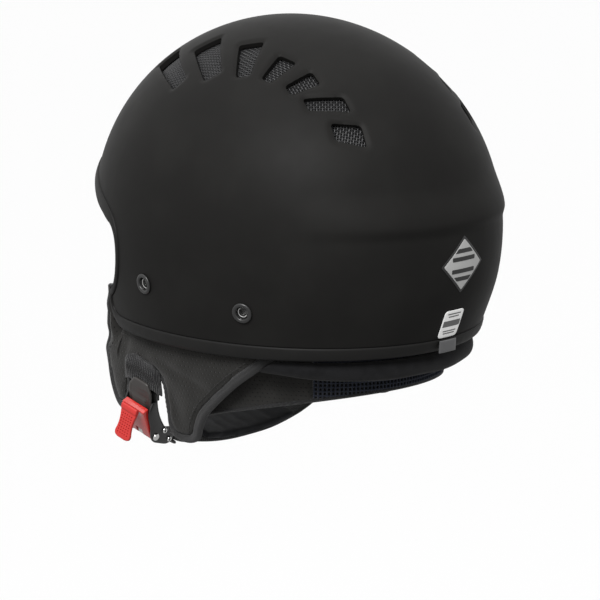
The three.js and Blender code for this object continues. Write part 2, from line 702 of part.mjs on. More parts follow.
const pocket = box([60, -78, -20], [101, -4, 34]);
const pockets = [pocket, mirrorX(pocket)];
const foam = dome(FOAM_LAYER, 5, 32, 2, 6);
add("foam_liner", cut(foam, openingTool(4), ...pockets, ...ventTools(1.5, -34, 9)), "foam");

const pads = cut(dome(PAD_LAYER, 10, 30, 2, 6), openingTool(8), ...pockets);
add("crown_pad", pads.intersect(box([-90, -120, 128], [90, 120, 170])), "lining");
addPair("temple_pad", pads.intersect(box([20, -57, 0], [120, 46, 125])), "lining");
add("nape_pad", pads.intersect(box([-120, 49, 0], [120, 150, 125])), "lining");
add("brow_pad", pads.intersect(box([-120, -150, 60], [120, -60, 125])), "lining");

const flapKeepout = prismX(flapOutline(-FLAP.pipe - 1.5), 40, 120);
add("neck_roll", cut(neckRoll(), flapKeepout, mirrorX(flapKeepout)), "neck");
addPair("neck_side_panel", curtain(-2, 44.8, 8), "flap");
add("neck_mesh_panel", curtain(45.2, 134.8, 16), "spacer");

const pipeInset = FLAP.pipe + FLAP.pipeGap;
addPair("ear_flap", flapBody(0, FLAP.thick, pipeInset), "flap");
addPair("flap_piping", flapPiping(), "binding");
const liningFrom = FLAP.thick + GAP;
addPair("flap_lining", flapBody(liningFrom, liningFrom + FLAP.lining, pipeInset + 2.5), "spacer");

// A thin sticker on the middle of the back, 0.4 mm clear of the surface.
function sticker(outline, centreZ, material, name) {
  const back = Math.PI / 2;
  const out = surfaceNormal(back, centreZ);
  const up = axisX.clone().cross(out);
  const frame = new THREE.Matrix4().makeBasis(axisX.clone().negate(), up, out);
  frame.setPosition(surfaceAt(back, centreZ));
  add(name, solidOf(extrude(outline, 0.5).translate(0, 0, 0.4).applyMatrix4(frame)), material);
}

sticker([[-17.5, 0], [0, -17], [17.5, 0], [0, 17]], 45, "silver", "rear_emblem");
sticker([[-8, -6.5], [-6, -8.5], [6, -8.5], [8, -6.5], [8, 6.5], [6, 8.5], [-6, 8.5], [-8, 6.5]],
  8.9, "label", "size_label");

// Strap, chin pad and buckle share one plane that leans forwards as it goes down.
const harness = new THREE.Group();
harness.position.set(0, STRAP.pivotY, STRAP.pivotZ);
harness.rotation.x = radians(STRAP.tilt);
helmet.add(harness);
const anchor = strapAnchor();
const leftRoute = [...STRAP_TOP, ...STRAP_LEFT_END];
const web = (route, steps) => ribbon(route, STRAP.thick, STRAP.width, steps);
add("strap_left", cut(web(leftRoute, 120), anchor.hole), "webbing", harness);
add("chin_strap", cut(web(CHIN_ROUTE, 240), mirrorX(anchor.hole)), "webbing", harness);
add("strap_anchor_left", anchor.body, "blackSteel", harness);
add("strap_anchor_right", mirrorX(anchor.body), "blackSteel", harness);
const padRoute = [[38, -34.2], [20, -37], [0, -38], [-20, -37], [-38, -34.2]];
add("chin_pad", ribbon(padRoute, 5, 26, 24), "neck", harness);
add("buckle_frame", buckleFrame(), "blackSteel", harness);
add("buckle_lever", lever(), "redPlastic", harness);
add("lever_pin", leverPin(), "chrome", harness);
add("lever_spring", leverSpring(), "chrome", harness);
add("pull_tab", pullTab(), "redRubber", harness);
add("ratchet_tongue", tongue(), "greyPlastic", harness);

// Rivets through the frame's side plates, as x and z.
const RIVETS = [[76, -22.9], [70.8, -29.6]];
const rivetFrom = BUCKLE.width / 2 + BUCKLE.wall + GAP;
RIVETS.forEach(([x, z], i) => {
  const head = turned([[0, 0], [1.7, 0], [1.7, 0.5], [1.1, 1], [0, 1]]).rotateX(-Math.PI / 2);
  const rear = solidOf(head.translate(x, rivetFrom, z));
  add(`frame_rivet_rear_${i + 1}`, rear, "chrome", harness);
  add(`frame_rivet_front_${i + 1}`, rear.mirror([0, 1, 0]), "chrome", harness);
});
const stickerFrame = arcFrame(57.2, 31, -5);
add("lever_sticker", solidOf(place(disc(3, 0, 0.4, 12), stickerFrame)), "darkLabel", harness);

export default helmet;
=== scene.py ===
"""An open-face scooter helmet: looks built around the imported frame. Lengths inside are in millimetres."""

import math

import bmesh
import bpy
import numpy as np
from mathutils import Matrix, Vector


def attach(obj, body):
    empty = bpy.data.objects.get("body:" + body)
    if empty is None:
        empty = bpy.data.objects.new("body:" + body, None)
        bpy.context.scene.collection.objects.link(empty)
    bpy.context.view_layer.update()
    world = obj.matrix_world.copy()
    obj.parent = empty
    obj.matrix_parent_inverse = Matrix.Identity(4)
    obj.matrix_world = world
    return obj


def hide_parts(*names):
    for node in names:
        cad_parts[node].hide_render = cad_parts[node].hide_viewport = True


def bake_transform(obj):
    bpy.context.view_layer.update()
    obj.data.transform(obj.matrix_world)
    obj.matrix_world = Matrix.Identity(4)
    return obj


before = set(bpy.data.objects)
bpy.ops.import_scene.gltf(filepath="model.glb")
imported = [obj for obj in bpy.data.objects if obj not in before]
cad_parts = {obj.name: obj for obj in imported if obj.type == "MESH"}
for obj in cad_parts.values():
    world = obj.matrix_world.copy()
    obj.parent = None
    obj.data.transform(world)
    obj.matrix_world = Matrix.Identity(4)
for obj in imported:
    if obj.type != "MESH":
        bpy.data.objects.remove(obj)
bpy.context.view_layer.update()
MM = 0.001


# ---- dimensions shared with the frame ----
SHELL = {"side": 110.0, "front": 132.0, "rear": 133.5, "height": 177.0, "equator": 55.0}
TUCK = (0.07, 0.03, 0.09)
LIP = {"edge": 70, "under": 62, "fade": 91, "proud": 3.2, "belly": 0.9, "from": 6, "to": 30, "spread": 58}
TRIM = {"gap": 0.35, "edge": 4.6, "rim": 10.0, "proud": 0.95, "inside": 5.0}
BINDING_ROOM = 3.4
ROLL = {"side": 93.0, "rear": 110.0, "half": 5.5, "top": -11.2, "rear_tall": 5.8, "side_tall": 3.2}
CURTAIN = {"side": 83.2, "rear": 100.5, "thick": 4.0, "top": -1.0, "low_rear": -33.0, "low_side": -54.0}
BUCKLE = {"x": 41.9, "z": 10.5, "width": 20.0, "wall": 1.2, "pin_angle": 42.0, "pin_radius": 54.6}
HARNESS = Matrix.Translation((0, -41.0, -45.0)) @ Matrix.Rotation(math.radians(-15), 4, "X")
OPENING = [
    (-52, 0), (-60, 0.7), (-65, 4.5), (-64, 10), (-57.5, 14.8), (-51.3, 21.7), (-46.7, 31.5),
    (-44.8, 43), (-46.5, 54), (-52, 62.8), (-62, 69), (-77.5, 75), (-91, 81.3), (-107, 87.5),
    (-122, 91), (-140, 92),
]
VENTS = [
    ((75, -22), (43.3, -64.2), 10.5, 16, 0), ((71, 1.7), (46.8, -27.4), 12, 18.5, 0),
    ((66.7, 22.2), (45.5, 8.3), 9, 15.7, 0), ((63.5, 37.6), (46.6, 39), 7.5, 13.5, 0),
    ((61.2, 53), (46.1, 61), 8, 11.5, 0), ((60.2, 66.3), (43.5, 83.2), 8.5, 10.5, 4),
    ((57.8, 85.5), (45.3, 98.2), 10.5, 13, 4.5),
]
FLAP_EDGE = [
    (-65, -1), (-71, -10.3), (-77.8, -25.4), (-79.1, -41.1), (-76.9, -51.8), (-71.8, -59.2),
    (-63.4, -59.4), (-58.5, -50.2), (-55.8, -38.3), (-51, -29), (-44, -27.4), (-36, -29.4),
    (-28.5, -31.4), (-23.7, -36.8), (-22.6, -49.2), (-21, -60.9), (-15.9, -67.6), (-5.8, -68.8), (1.5, -65.7),
    (4.6, -58.4), (10.2, -49.5), (19.7, -40.5), (34.3, -28.1), (49.8, -16.2), (66, -1),
]
MESH_PITCH = 2.6
SNAPS = {"front": (-19, 27.4), "rear": (52.3, 19.5)}


def smooth(low, high, value):
    t = np.clip((np.asarray(value, float) - low) / (high - low), 0, 1)
    return t * t * (3 - 2 * t)


def mix(a, b, t):
    return a + (b - a) * t


# ---- the shell's surface ----
def section(z, inset=0.0):
    z = np.asarray(z, float)
    top = SHELL["height"] - inset - SHELL["equator"]
    above = np.sqrt(np.maximum(0, 1 - ((z - SHELL["equator"]) / top) ** 2))
    drop = ((SHELL["equator"] - z) / SHELL["equator"]) ** 2
    axes = (SHELL["side"], SHELL["front"], SHELL["rear"])
    return [(a - inset) * np.where(z >= SHELL["equator"], above, 1 - k * drop) for a, k in zip(axes, TUCK)]


def lip_height(angle, z):
    from_back = np.abs(np.degrees(angle) - 90)
    around = 1 - smooth(LIP["spread"] * 0.4, LIP["spread"], from_back)
    above = LIP["proud"] * (1 - smooth(LIP["edge"], LIP["fade"], z))
    below = LIP["belly"] * smooth(LIP["from"], LIP["to"], z)
    return around * mix(below, above, smooth(LIP["under"], LIP["edge"], z))


def surface(angle, z, inset=0.0):
    """Points of the shell. The angle is 0 at the wearer's left and a quarter turn at the back."""
    angle, z = np.broadcast_arrays(np.asarray(angle, float), np.asarray(z, float))
    side, front, rear = section(z, inset)
    c, s = np.cos(angle), np.sin(angle)
    lip = np.where(s > 0, lip_height(angle, z), 0)
    return np.stack([(side + lip) * c, (np.where(s > 0, rear, front) + lip) * s, z], -1)


def from_side(y, z):
    """The wearer's left face of the shell at a depth and height."""
    y, z = np.broadcast_arrays(np.asarray(y, float), np.asarray(z, float))
    _, front, rear = section(z)
    return surface(np.arcsin(np.clip(y / np.where(y < 0, front, rear), -1, 1)), z)


def angle_of(p):
    side, front, rear = section(p[..., 2])
    return np.arctan2(p[..., 1] / np.where(p[..., 1] < 0, front, rear), p[..., 0] / side)


def normal_at(angle, z):
    around = surface(angle + 0.01, z) - surface(angle - 0.01, z)
    up = surface(angle, np.asarray(z) + 0.5) - surface(angle, np.asarray(z) - 0.5)
    return unit(np.cross(around, up))


def unit(v):
    return v / np.maximum(np.linalg.norm(v, axis=-1, keepdims=True), 1e-9)


# ---- curves and outlines ----
def between(s, start, stop, a, b):
    """A straight run from a at start to b at stop."""
    return (stop - s) / (stop - start) * a + (s - start) / (stop - start) * b


def spline(points, spacing):
    """A centripetal Catmull-Rom curve through points, resampled evenly."""
    p = np.asarray(points, float)
    p = np.vstack([2 * p[0] - p[1], p, 2 * p[-1] - p[-2]])
    out = []
    for a, b, c, d in zip(p[:-3], p[1:-2], p[2:-1], p[3:]):
        t = np.cumsum([0] + [max(np.linalg.norm(v), 1e-6) ** 0.5 for v in (b - a, c - b, d - c)])
        s = np.linspace(t[1], t[2], 24, endpoint=False)[:, None]
        ends = ((a, b), (b, c), (c, d))
        first, middle, last = [between(s, t[i], t[i + 1], *pair) for i, pair in enumerate(ends)]
        early, late = between(s, t[0], t[2], first, middle), between(s, t[1], t[3], middle, last)
        out.append(between(s, t[1], t[2], early, late))
    return even(np.vstack(out + [p[-2:-1]]), spacing)


def lengths(line):
    return np.concatenate([[0], np.cumsum(np.linalg.norm(np.diff(line, axis=0), axis=1))])


def even(line, spacing):
    run = lengths(line)
    at = np.linspace(0, run[-1], max(2, int(round(run[-1] / spacing)) + 1))
    return np.stack([np.interp(at, run, line[:, i]) for i in range(line.shape[1])], -1)


def rounded(corners, radius):
    """A closed outline with its corners rounded."""
    p = np.asarray(corners, float)
    out = []
    for i in range(len(p)):
        a, b, c = p[i - 1], p[i], p[(i + 1) % len(p)]
        u, v = unit(a - b), unit(c - b)
        reach = min(radius, 0.45 * np.linalg.norm(a - b), 0.45 * np.linalg.norm(c - b))
        for t in np.linspace(0, 1, 6):
            out.append((1 - t) ** 2 * (b + u * reach) + 2 * t * (1 - t) * b + t * t * (b + v * reach))
    return np.array(out)


def grow(outline, by):
    """A closed outline moved outwards. It runs anticlockwise."""
    before, after = np.roll(outline, 1, 0), np.roll(outline, -1, 0)
    along = unit(after - before)
    return outline + by * np.stack([along[:, 1], -along[:, 0]], -1)


def distance(points, line, closed=False):
    """Distance from flat points to a polyline."""
    a = line if closed else line[:-1]
    b = np.roll(line, -1, 0) if closed else line[1:]
    best = np.full(len(points), 1e9)
    for start in range(0, len(a), 40):
        p, q = a[start:start + 40], b[start:start + 40]
        d = q - p
        t = np.clip(((points[:, None] - p) * d).sum(-1) / np.maximum((d * d).sum(-1), 1e-9), 0, 1)
        gap = np.linalg.norm(points[:, None] - (p + t[..., None] * d), axis=-1)
        best = np.minimum(best, gap.min(1))
    return best


# ---- meshes ----
def mesh_of(name, points, faces):
    data = bpy.data.meshes.new(name)
    data.from_pydata((np.asarray(points, float) * MM).tolist(), [], [tuple(map(int, f)) for f in faces])
    data.validate()
    made = bpy.data.objects.new(name, data)
    bpy.context.scene.collection.objects.link(made)
    return made


def rings_mesh(rings, loop=False, caps=True):
    """Closed rings joined one to the next. Loop joins the last to the first, caps close the ends."""
    rings = np.asarray(rings, float)
    rows, count = rings.shape[:2]
    points = rings.reshape(-1, 3)
    faces = []
    pairs = [(j, (j + 1) % count) for j in range(count)]
    for i in range(rows if loop else rows - 1):
        here, there = i * count, ((i + 1) % rows) * count
        faces += [(here + j, there + j, there + k, here + k) for j, k in pairs]
    if caps and not loop:
        points = np.vstack([points, rings[0].mean(0), rings[-1].mean(0)])
        first, last = rows * count, (rows - 1) * count
        for j, k in pairs:
            faces += [(first, j, k), (first + 1, last + k, last + j)]
    return points, faces


def slab(front, back):
    """A thick sheet between two grids of points, closed round its edges."""
    front, back = np.asarray(front, float), np.asarray(back, float)
    rows, cols = front.shape[:2]
    points = np.vstack([front.reshape(-1, 3), back.reshape(-1, 3)])
    behind = rows * cols
    faces = []
    for i in range(rows - 1):
        for j in range(cols - 1):
            a, b, c, d = i * cols + j, (i + 1) * cols + j, (i + 1) * cols + j + 1, i * cols + j + 1
            faces.append((a, b, c, d))
            faces.append((a + behind, d + behind, c + behind, b + behind))
    edge = list(range(cols)) + [i * cols + cols - 1 for i in range(1, rows)]
    edge += [(rows - 1) * cols + j for j in range(cols - 2, -1, -1)]
    edge += [i * cols for i in range(rows - 2, 0, -1)]
    for a, b in zip(edge, edge[1:] + edge[:1]):
        faces.append((a, b, b + behind, a + behind))
    return points, faces


def merge(*parts):
    points, faces, base = [], [], 0
    for p, f in parts:
        points.append(np.asarray(p, float))
        faces += [tuple(i + base for i in face) for face in f]
        base += len(p)
    return np.vstack(points), faces


def pushed(low, high):
    """The solid between two outlines that have the same number of points."""
    n = len(low)
    faces = [tuple(range(n)), tuple(range(2 * n - 1, n - 1, -1))]
    faces += [(j, n + j, n + (j + 1) % n, (j + 1) % n) for j in range(n)]
    return np.vstack([low, high]), faces


def prism(outline, low, high, axis="X"):
    """A closed flat outline pushed along an axis."""
    outline = np.asarray(outline, float)
    return pushed(*[np.insert(outline, "XYZ".index(axis), at, axis=1) for at in (low, high)])


def flip(part):
    points, faces = part
    return points * [-1, 1, 1], [tuple(reversed(f)) for f in faces]


HANDS = (("left", lambda part: part), ("right", flip))


def clean(made, weld=0.00001):
    """Welds doubled points and turns every face outwards."""
    b = bmesh.new()
    b.from_mesh(made.data)
    bmesh.ops.remove_doubles(b, verts=b.verts, dist=weld)
    bmesh.ops.dissolve_degenerate(b, edges=b.edges, dist=weld * 0.1)
    bmesh.ops.recalc_face_normals(b, faces=b.faces)
    b.to_mesh(made.data)
    b.free()
    return made


def apply_modifiers(made):
    bpy.context.view_layer.update()
    shown = made.evaluated_get(bpy.context.evaluated_depsgraph_get())
    data = bpy.data.meshes.new_from_object(shown)
    made.modifiers.clear()
    made.data = data
    return made


def boolean(made, part):
    """Cuts a part out of a mesh."""
    tool = clean(mesh_of("tool", *part))
    modifier = made.modifiers.new("cut", "BOOLEAN")
    modifier.operation, modifier.object, modifier.solver = "DIFFERENCE", tool, "EXACT"
    apply_modifiers(made)
    bpy.data.objects.remove(tool)
    if not made.data.vertices:
        raise ValueError(f"the cut left nothing of {made.name}")
    return made


def bevel(made, width, segments=2, angle=32):
    modifier = made.modifiers.new("bevel", "BEVEL")
    modifier.width, modifier.segments, modifier.limit_method = width * MM, segments, "ANGLE"
    modifier.angle_limit = math.radians(angle)
    modifier.harden_normals = False
    return apply_modifiers(made)


def points_of(made):
    co = np.empty(len(made.data.vertices) * 3, np.float32)
    made.data.vertices.foreach_get("co", co)
    return co.reshape(-1, 3).astype(float) / MM


def set_points(made, points):
    made.data.vertices.foreach_set("co", (np.asarray(points) * MM).astype(np.float32).ravel())
    made.data.update()


def flat_coordinates(made, flat):
    """Cloth coordinates in millimetres, which the weaves follow."""
    values = np.zeros((len(made.data.vertices), 3), np.float32)
    values[:, :2] = flat
    attribute = made.data.attributes.new("cloth", "FLOAT_VECTOR", "POINT")
    attribute.data.foreach_set("vector", values.ravel())


def finish(made, look, body="helmet", slot=None, replaces=(), sharp=40, pad=None):
    made.data.materials.clear()
    made.data.materials.append(look)
    made.data.polygons.foreach_set("use_smooth", [True] * len(made.data.polygons))
    if sharp:
        made.data.set_sharp_from_angle(angle=math.radians(sharp))
    if body:
        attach(made, body)
    if replaces:
        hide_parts(*replaces)
    return made


def piece(name, part, look, *places, **extras):
    """A cleaned and finished piece from points and faces."""
    return finish(clean(mesh_of(name, *part)), look, *places, **extras)


def tape_piece(name, part, flat, *places):
    """A finished tape. A function of its points gives its cloth coordinates."""
    made = clean(mesh_of(name, *part))
    flat_coordinates(made, np.stack(flat(*points_of(made).T), -1))
    return finish(made, binding_look, *places, sharp=0)


# ---- materials ----
class Look:
    """A procedural material. Texture coordinates are in millimetres."""

    def __init__(self, name, color, rough, metal=0.0, specular=0.5, coat=0.0, sheen=0.0):
        self.material = bpy.data.materials.new(name)
        self.material.use_nodes = True
        self.tree = self.material.node_tree
        self.shader = self.tree.nodes["Principled BSDF"]
        values = {
            "Base Color": (*color, 1), "Roughness": rough, "Metallic": metal, "Specular IOR Level": specular,
            "Coat Weight": coat, "Coat Roughness": 0.12, "Sheen Weight": sheen, "Sheen Roughness": 0.5,
        }
        for socket, value in values.items():
            self.shader.inputs[socket].default_value = value

    def node(self, kind, sockets=None, **settings):
        """A node with its settings, and each socket set to a number or joined to another node."""
        made = self.tree.nodes.new("ShaderNode" + kind)
        for key, value in settings.items():
            setattr(made, key, value)
        for socket, value in (sockets or {}).items():
            if isinstance(value, bpy.types.NodeSocket):
                self.tree.links.new(value, made.inputs[socket])
            else:
                made.inputs[socket].default_value = value
        return made

    def shade(self, made, output, socket):
        self.tree.links.new(made.outputs[output], self.shader.inputs[socket])

    def math(self, how, a, b=0.0):
        return self.node("Math", {0: a, 1: b}, operation=how).outputs[0]

    def invert(self, value):
        return self.math("SUBTRACT", 1.0, value)

    def wave(self, part, pitch):
        """A rounded ridge every pitch."""
        return self.math("ABSOLUTE", self.math("SINE", self.math("MULTIPLY", part, math.pi / pitch)))

    def place(self, cloth=False):
        """Object or cloth coordinates, in millimetres."""
        if cloth:
            return self.node("Attribute", attribute_name="cloth").outputs["Vector"]
        spot = self.node("TexCoord").outputs["Object"]
        return self.node("VectorMath", {0: spot, "Scale": 1 / MM}, operation="SCALE").outputs[0]

    def noise(self, where, size, detail=2.0, rough=0.5):
        sockets = {"Scale": 1 / size, "Detail": detail, "Roughness": rough, "Vector": where}
        return self.node("TexNoise", sockets).outputs["Fac"]

    def cells(self, where, size):
        return self.node("TexVoronoi", {"Scale": 1 / size, "Vector": where}, feature="F1").outputs["Distance"]

    def ramp(self, value, low, high):
        sockets = {"Value": value, "From Min": low, "From Max": high}
        return self.node("MapRange", sockets, clamp=True, interpolation_type="SMOOTHSTEP").outputs["Result"]

    def blend(self, factor, a, b):
        return self.node("Mix", {"Factor": factor, "A": (*a, 1), "B": (*b, 1)}, data_type="RGBA")

    def tint(self, factor, a, b):
        made = self.blend(factor, a, b)
        self.shade(made, "Result", "Base Color")
        return made

    def vary(self, factor, color, darker, lighter):
        """Tints between a darker and a lighter version of a colour."""
        self.tint(factor, *[[min(1, c * by) for c in color] for by in (darker, lighter)])

    def roughen(self, factor, low, high):
        made = self.node("MapRange", {"Value": factor, "To Min": low, "To Max": high})
        self.shade(made, "Result", "Roughness")

    def bump(self, *layers):
        """Layers of (height, depth in millimetres)."""
        sockets = {"Strength": 1.0}
        for height, depth in layers:
            made = self.node("Bump", {**sockets, "Distance": depth * MM, "Height": height})
            sockets["Normal"] = made.outputs["Normal"]
        self.shade(made, "Normal", "Normal")

    def split(self, where):
        return self.node("SeparateXYZ", {0: where}).outputs

    def dots(self, where, pitch, radius):
        """A staggered grid of round dots on cloth coordinates: 1 in a dot, 0 between."""
        u, v, _ = self.split(where)
        v = self.math("DIVIDE", v, pitch * 0.866)
        row = self.math("MODULO", self.math("FLOOR", v), 2.0)
        shift = self.math("MULTIPLY", self.math("ABSOLUTE", row), 0.5)
        u = self.math("ADD", self.math("DIVIDE", u, pitch), shift)
        squares = []
        for part, size in ((u, pitch), (v, pitch * 0.866)):
            off = self.math("MULTIPLY", self.math("SUBTRACT", self.math("FRACT", part), 0.5), size)
            squares.append(self.math("MULTIPLY", off, off))
        gap = self.math("SQRT", self.math("ADD", *squares))
        return self.invert(self.ramp(gap, radius * 0.6, radius * 1.3))


def look_shell():
    look = Look("shell_soft_touch", (0.0112, 0.0109, 0.0104), 0.5, specular=0.05)
    where = look.place()
    broad = look.noise(where, 40, 3)
    look.tint(look.ramp(broad, 0.35, 0.7), (0.0101, 0.0098, 0.0094), (0.0121, 0.0118, 0.0112))
    look.roughen(look.noise(where, 9, 4), 0.44, 0.52)
    look.bump((look.noise(where, 0.9, 2), 0.012), (look.noise(where, 14, 2), 0.05))
    return look.material


def look_rubber(name, color):
    look = Look(name, color, 0.5, specular=0.12)
    where = look.place()
    look.vary(look.noise(where, 12, 3), color, 0.8, 1.25)
    look.roughen(look.noise(where, 3, 3), 0.42, 0.6)
    look.bump((look.noise(where, 0.7, 3), 0.03))
    return look.material


def look_perforated():
    look = Look("perforated_suede", (0.020, 0.0194, 0.0182), 0.95, specular=0.12, sheen=0.12)
    cloth = look.place(cloth=True)
    where = look.place()
    dots = look.dots(cloth, 2.9, 0.42)
    nap = look.noise(where, 0.6, 4, 0.7)
    # the perforations are painted near-black: painted shade inside each hole, over the suede's own patchy
    # tone
    soft = look.tint(dots, (0.020, 0.0194, 0.0182), (0.003, 0.003, 0.003))
    patches = look.ramp(look.noise(where, 16, 3), 0.3, 0.75)
    blotch = look.blend(patches, (0.0165, 0.016, 0.015), (0.0225, 0.0218, 0.0204))
    look.tree.links.new(blotch.outputs["Result"], soft.inputs["A"])
    look.bump((nap, 0.1), (look.invert(dots), 0.28))
    return look.material


def look_spacer():
    look = Look("navy_spacer_mesh", (0.03, 0.036, 0.055), 0.85, specular=0.15, sheen=0.08)
    u, v, _ = look.split(look.place(cloth=True))
    across, up = [look.wave(part, MESH_PITCH) for part in (u, v)]
    hole = look.math("MULTIPLY", look.ramp(across, 0.35, 0.75), look.ramp(up, 0.3, 0.7))
    # the holes are painted near-black: painted shade inside the mesh's holes
    look.tint(hole, (0.018, 0.0215, 0.033), (0.0015, 0.002, 0.003))
    yarn = look.noise(look.place(), 0.35, 3, 0.7)
    look.bump((yarn, 0.12), (look.invert(hole), 0.6))
    return look.material


def look_knit(name, color, rib=None):
    look = Look(name, color, 0.9, specular=0.12, sheen=0.1)
    where = look.place()
    look.vary(look.ramp(look.noise(where, 7, 3), 0.3, 0.7), color, 0.75, 1.3)
    layers = [(look.noise(where, 0.5, 4, 0.7), 0.12)]
    if rib:
        layers.append((look.wave(look.split(look.place(cloth=True))[1], rib), 0.25 * rib))
    look.bump(*layers)
    return look.material


def look_webbing(name, color, pitch):
    look = Look(name, color, 0.75, specular=0.3, sheen=0.15)
    u, v, _ = look.split(look.place(cloth=True))
    column = look.math("DIVIDE", v, pitch)
    row = look.math("MODULO", look.math("ABSOLUTE", look.math("FLOOR", column)), 2.0)
    step = look.math("ADD", look.math("DIVIDE", u, pitch * 1.4), look.math("MULTIPLY", row, 0.5))
    turns = look.math("SINE", look.math("MULTIPLY", step, 2 * math.pi))
    twill = look.math("ADD", look.math("MULTIPLY", turns, 0.5), 0.5)
    raised = look.math("ADD", look.math("MULTIPLY", twill, 0.7), 0.3)
    weave = look.math("MULTIPLY", look.wave(column, 1.0), raised)
    # raised yarn is painted lighter and the valleys between yarns darker: painted light and shade by the
    # weave's height
    look.vary(weave, color, 0.45, 1.8)
    look.bump((look.noise(look.place(), 0.4, 2), 0.05), (weave, 0.35))
    return look.material


def look_foam():
    look = Look("black_bead_foam", (0.02, 0.02, 0.021), 0.7, specular=0.35)
    where = look.place()
    beads = look.cells(where, 3.4)
    # lighter at each bead's middle and darker towards its edge: painted shade in the crevices between beads
    look.tint(look.ramp(beads, 0.1, 0.7), (0.034, 0.034, 0.036), (0.012, 0.012, 0.013))
    look.bump((look.noise(where, 0.6, 2), 0.05), (look.invert(beads), 0.5))
    return look.material


def look_plastic(name, color, rough, coat=0.0, grain=0.02, grain_size=0.5):
    look = Look(name, color, rough, coat=coat)
    where = look.place()
    look.vary(look.noise(where, 8, 3), color, 0.88, 1.12)
    look.roughen(look.noise(where, 2.5, 3), rough * 0.85, rough * 1.15)
    look.bump((look.noise(where, grain_size, 2), grain))
    return look.material


def look_metal(name, color, rough):
    look = Look(name, color, rough, metal=1.0)
    where = look.place()
    scratch = look.noise(where, 0.8, 4, 0.7)
    look.roughen(scratch, rough * 0.7, rough * 1.6)
    look.bump((scratch, 0.01))
    return look.material


shell_look = look_shell()
trim_look = look_rubber("trim_rubber", (0.0105, 0.0103, 0.0100))
snap_look = look_plastic("snap_black", (0.016, 0.016, 0.016), 0.35, grain=0.01)
suede_look = look_perforated()
spacer_look = look_spacer()
roll_look = look_knit("ribbed_roll", (0.006, 0.006, 0.0066), rib=0.9)
lining_look = look_knit("lining_knit", (0.013, 0.0135, 0.015))
binding_look = look_webbing("binding_tape", (0.009, 0.009, 0.0095), pitch=0.8)
webbing_look = look_webbing("nylon_webbing", (0.014, 0.014, 0.014), pitch=1.3)
foam_look = look_foam()
wire_look = look_plastic("vent_wire", (0.022, 0.022, 0.023), 0.5, grain=0.01)
scrim_look = look_knit("vent_scrim", (0.006, 0.006, 0.006))
steel_look = look_plastic("black_steel", (0.009, 0.009, 0.009), 0.3, coat=0.3, grain=0.008)
chrome_look = look_metal("bright_nickel", (0.78, 0.78, 0.77), 0.16)
red_look = look_plastic("red_lever", (0.46, 0.022, 0.016), 0.22, coat=0.6, grain=0.004)
red_rubber_look = look_plastic("red_rubber", (0.46, 0.020, 0.016), 0.55, grain=0.03)
grey_look = look_plastic("grey_tongue", (0.029, 0.0262, 0.0245), 0.45, grain=0.02)
thread_look = look_plastic("black_thread", (0.02, 0.02, 0.02), 0.7, grain=0.05, grain_size=0.2)
silver_look = look_plastic("silver_print", (0.38, 0.38, 0.375), 0.4, grain=0.004)
white_look = look_plastic("white_label", (0.95, 0.95, 0.93), 0.5, grain=0.004)
grey_print_look = look_plastic("grey_print", (0.12, 0.12, 0.12), 0.5, grain=0.004)
# real black print on the emblem, and painted shade on the discs inside the snaps and eyelets
dark_print_and_shade_look = look_plastic("black_print_and_painted_shade", (0.014, 0.014, 0.014), 0.45, grain=0.004)
joiner_look = look_plastic("trim_joiner_clear", (0.075, 0.075, 0.077), 0.3, coat=0.2, grain=0.02)


# ---- outer shell ----
EQUATOR, TOP = SHELL["equator"], SHELL["height"]
opening_curve = spline(OPENING, 0.8)


def dome_grid(inset, low, columns, rows_low, rows_high):
    angle = np.linspace(0, 2 * math.pi, columns, endpoint=False)
    lift = np.linspace(0, math.radians(89.3), rows_high)
    below = np.linspace(low, EQUATOR, rows_low, endpoint=False)
    z = np.concatenate([below, EQUATOR + (TOP - inset - EQUATOR) * np.sin(lift)])
    return angle, z, surface(angle[None, :], z[:, None], inset)


def dome_shell(outer, inner):
    """Closes two domes into one wall, joined round their lower edges."""
    n_out, n_in = outer.shape[0] * outer.shape[1], inner.shape[0] * inner.shape[1]
    columns = outer.shape[1]
    p1, f1 = rings_mesh(outer, caps=False)
    p2, f2 = rings_mesh(inner, caps=False)
    points = np.vstack([p1, p2, outer[-1].mean(0), inner[-1].mean(0)])
    faces = f1 + [tuple(i + n_out for i in reversed(f)) for f in f2]
    for j in range(columns):
        k = (j + 1) % columns
        faces.append((j, k, n_out + k, n_out + j))
        faces.append((n_out - columns + j, n_out - columns + k, n_out + n_in))
        faces.append((n_out + n_in - columns + k, n_out + n_in - columns + j, n_out + n_in + 1))
    return points, faces


def opening_prism():
    """Everything below and in front of the shell's edge."""
    far, low = 200, -80
    brow = opening_curve[-1][1]
    outline = np.vstack([[far, low], [far, 0], [150, 0], opening_curve, [-far, brow], [-far, low]])
    return prism(outline, -far, far)


def ventilation(vent):
    """A slot's frame (middle, along, sideward, out) and its rounded outline in that frame."""
    low, high, low_width, high_width, skew = vent

    def lifted(x, y):
        side, front, rear = SHELL["side"], SHELL["front"], SHELL["rear"]
        part = (x / side) ** 2 + (y / (front if y < 0 else rear)) ** 2
        return np.array([x, y, EQUATOR + (TOP - EQUATOR) * math.sqrt(1 - part)])

    a, b = lifted(*low), lifted(*high)
    middle, along = (a + b) / 2, unit(b - a)
    spot = lifted(middle[0], middle[1])
    sideward = unit(np.cross(normal_at(angle_of(spot), spot[2]), along))
    out = np.cross(along, sideward)
    half, p, q = np.linalg.norm(b - a) / 2, low_width / 2, high_width / 2
    corners = np.array([(-half, -p), (half, -q), (half, q), (-half, p)], float)
    corners[:, 0] -= 2 * skew / (low_width + high_width) * corners[:, 1]
    return (middle, along, sideward, out), rounded(corners, 2.6)


slots = [ventilation(v) for v in VENTS]


def slot_tools(deep, high):
    made = []
    for (middle, along, sideward, out), outline in slots:
        flat = middle + outline[:, :1] * along + outline[:, 1:] * sideward
        made.append(pushed(flat + out * deep, flat + out * high))
    return merge(*made, *[flip(m) for m in made])


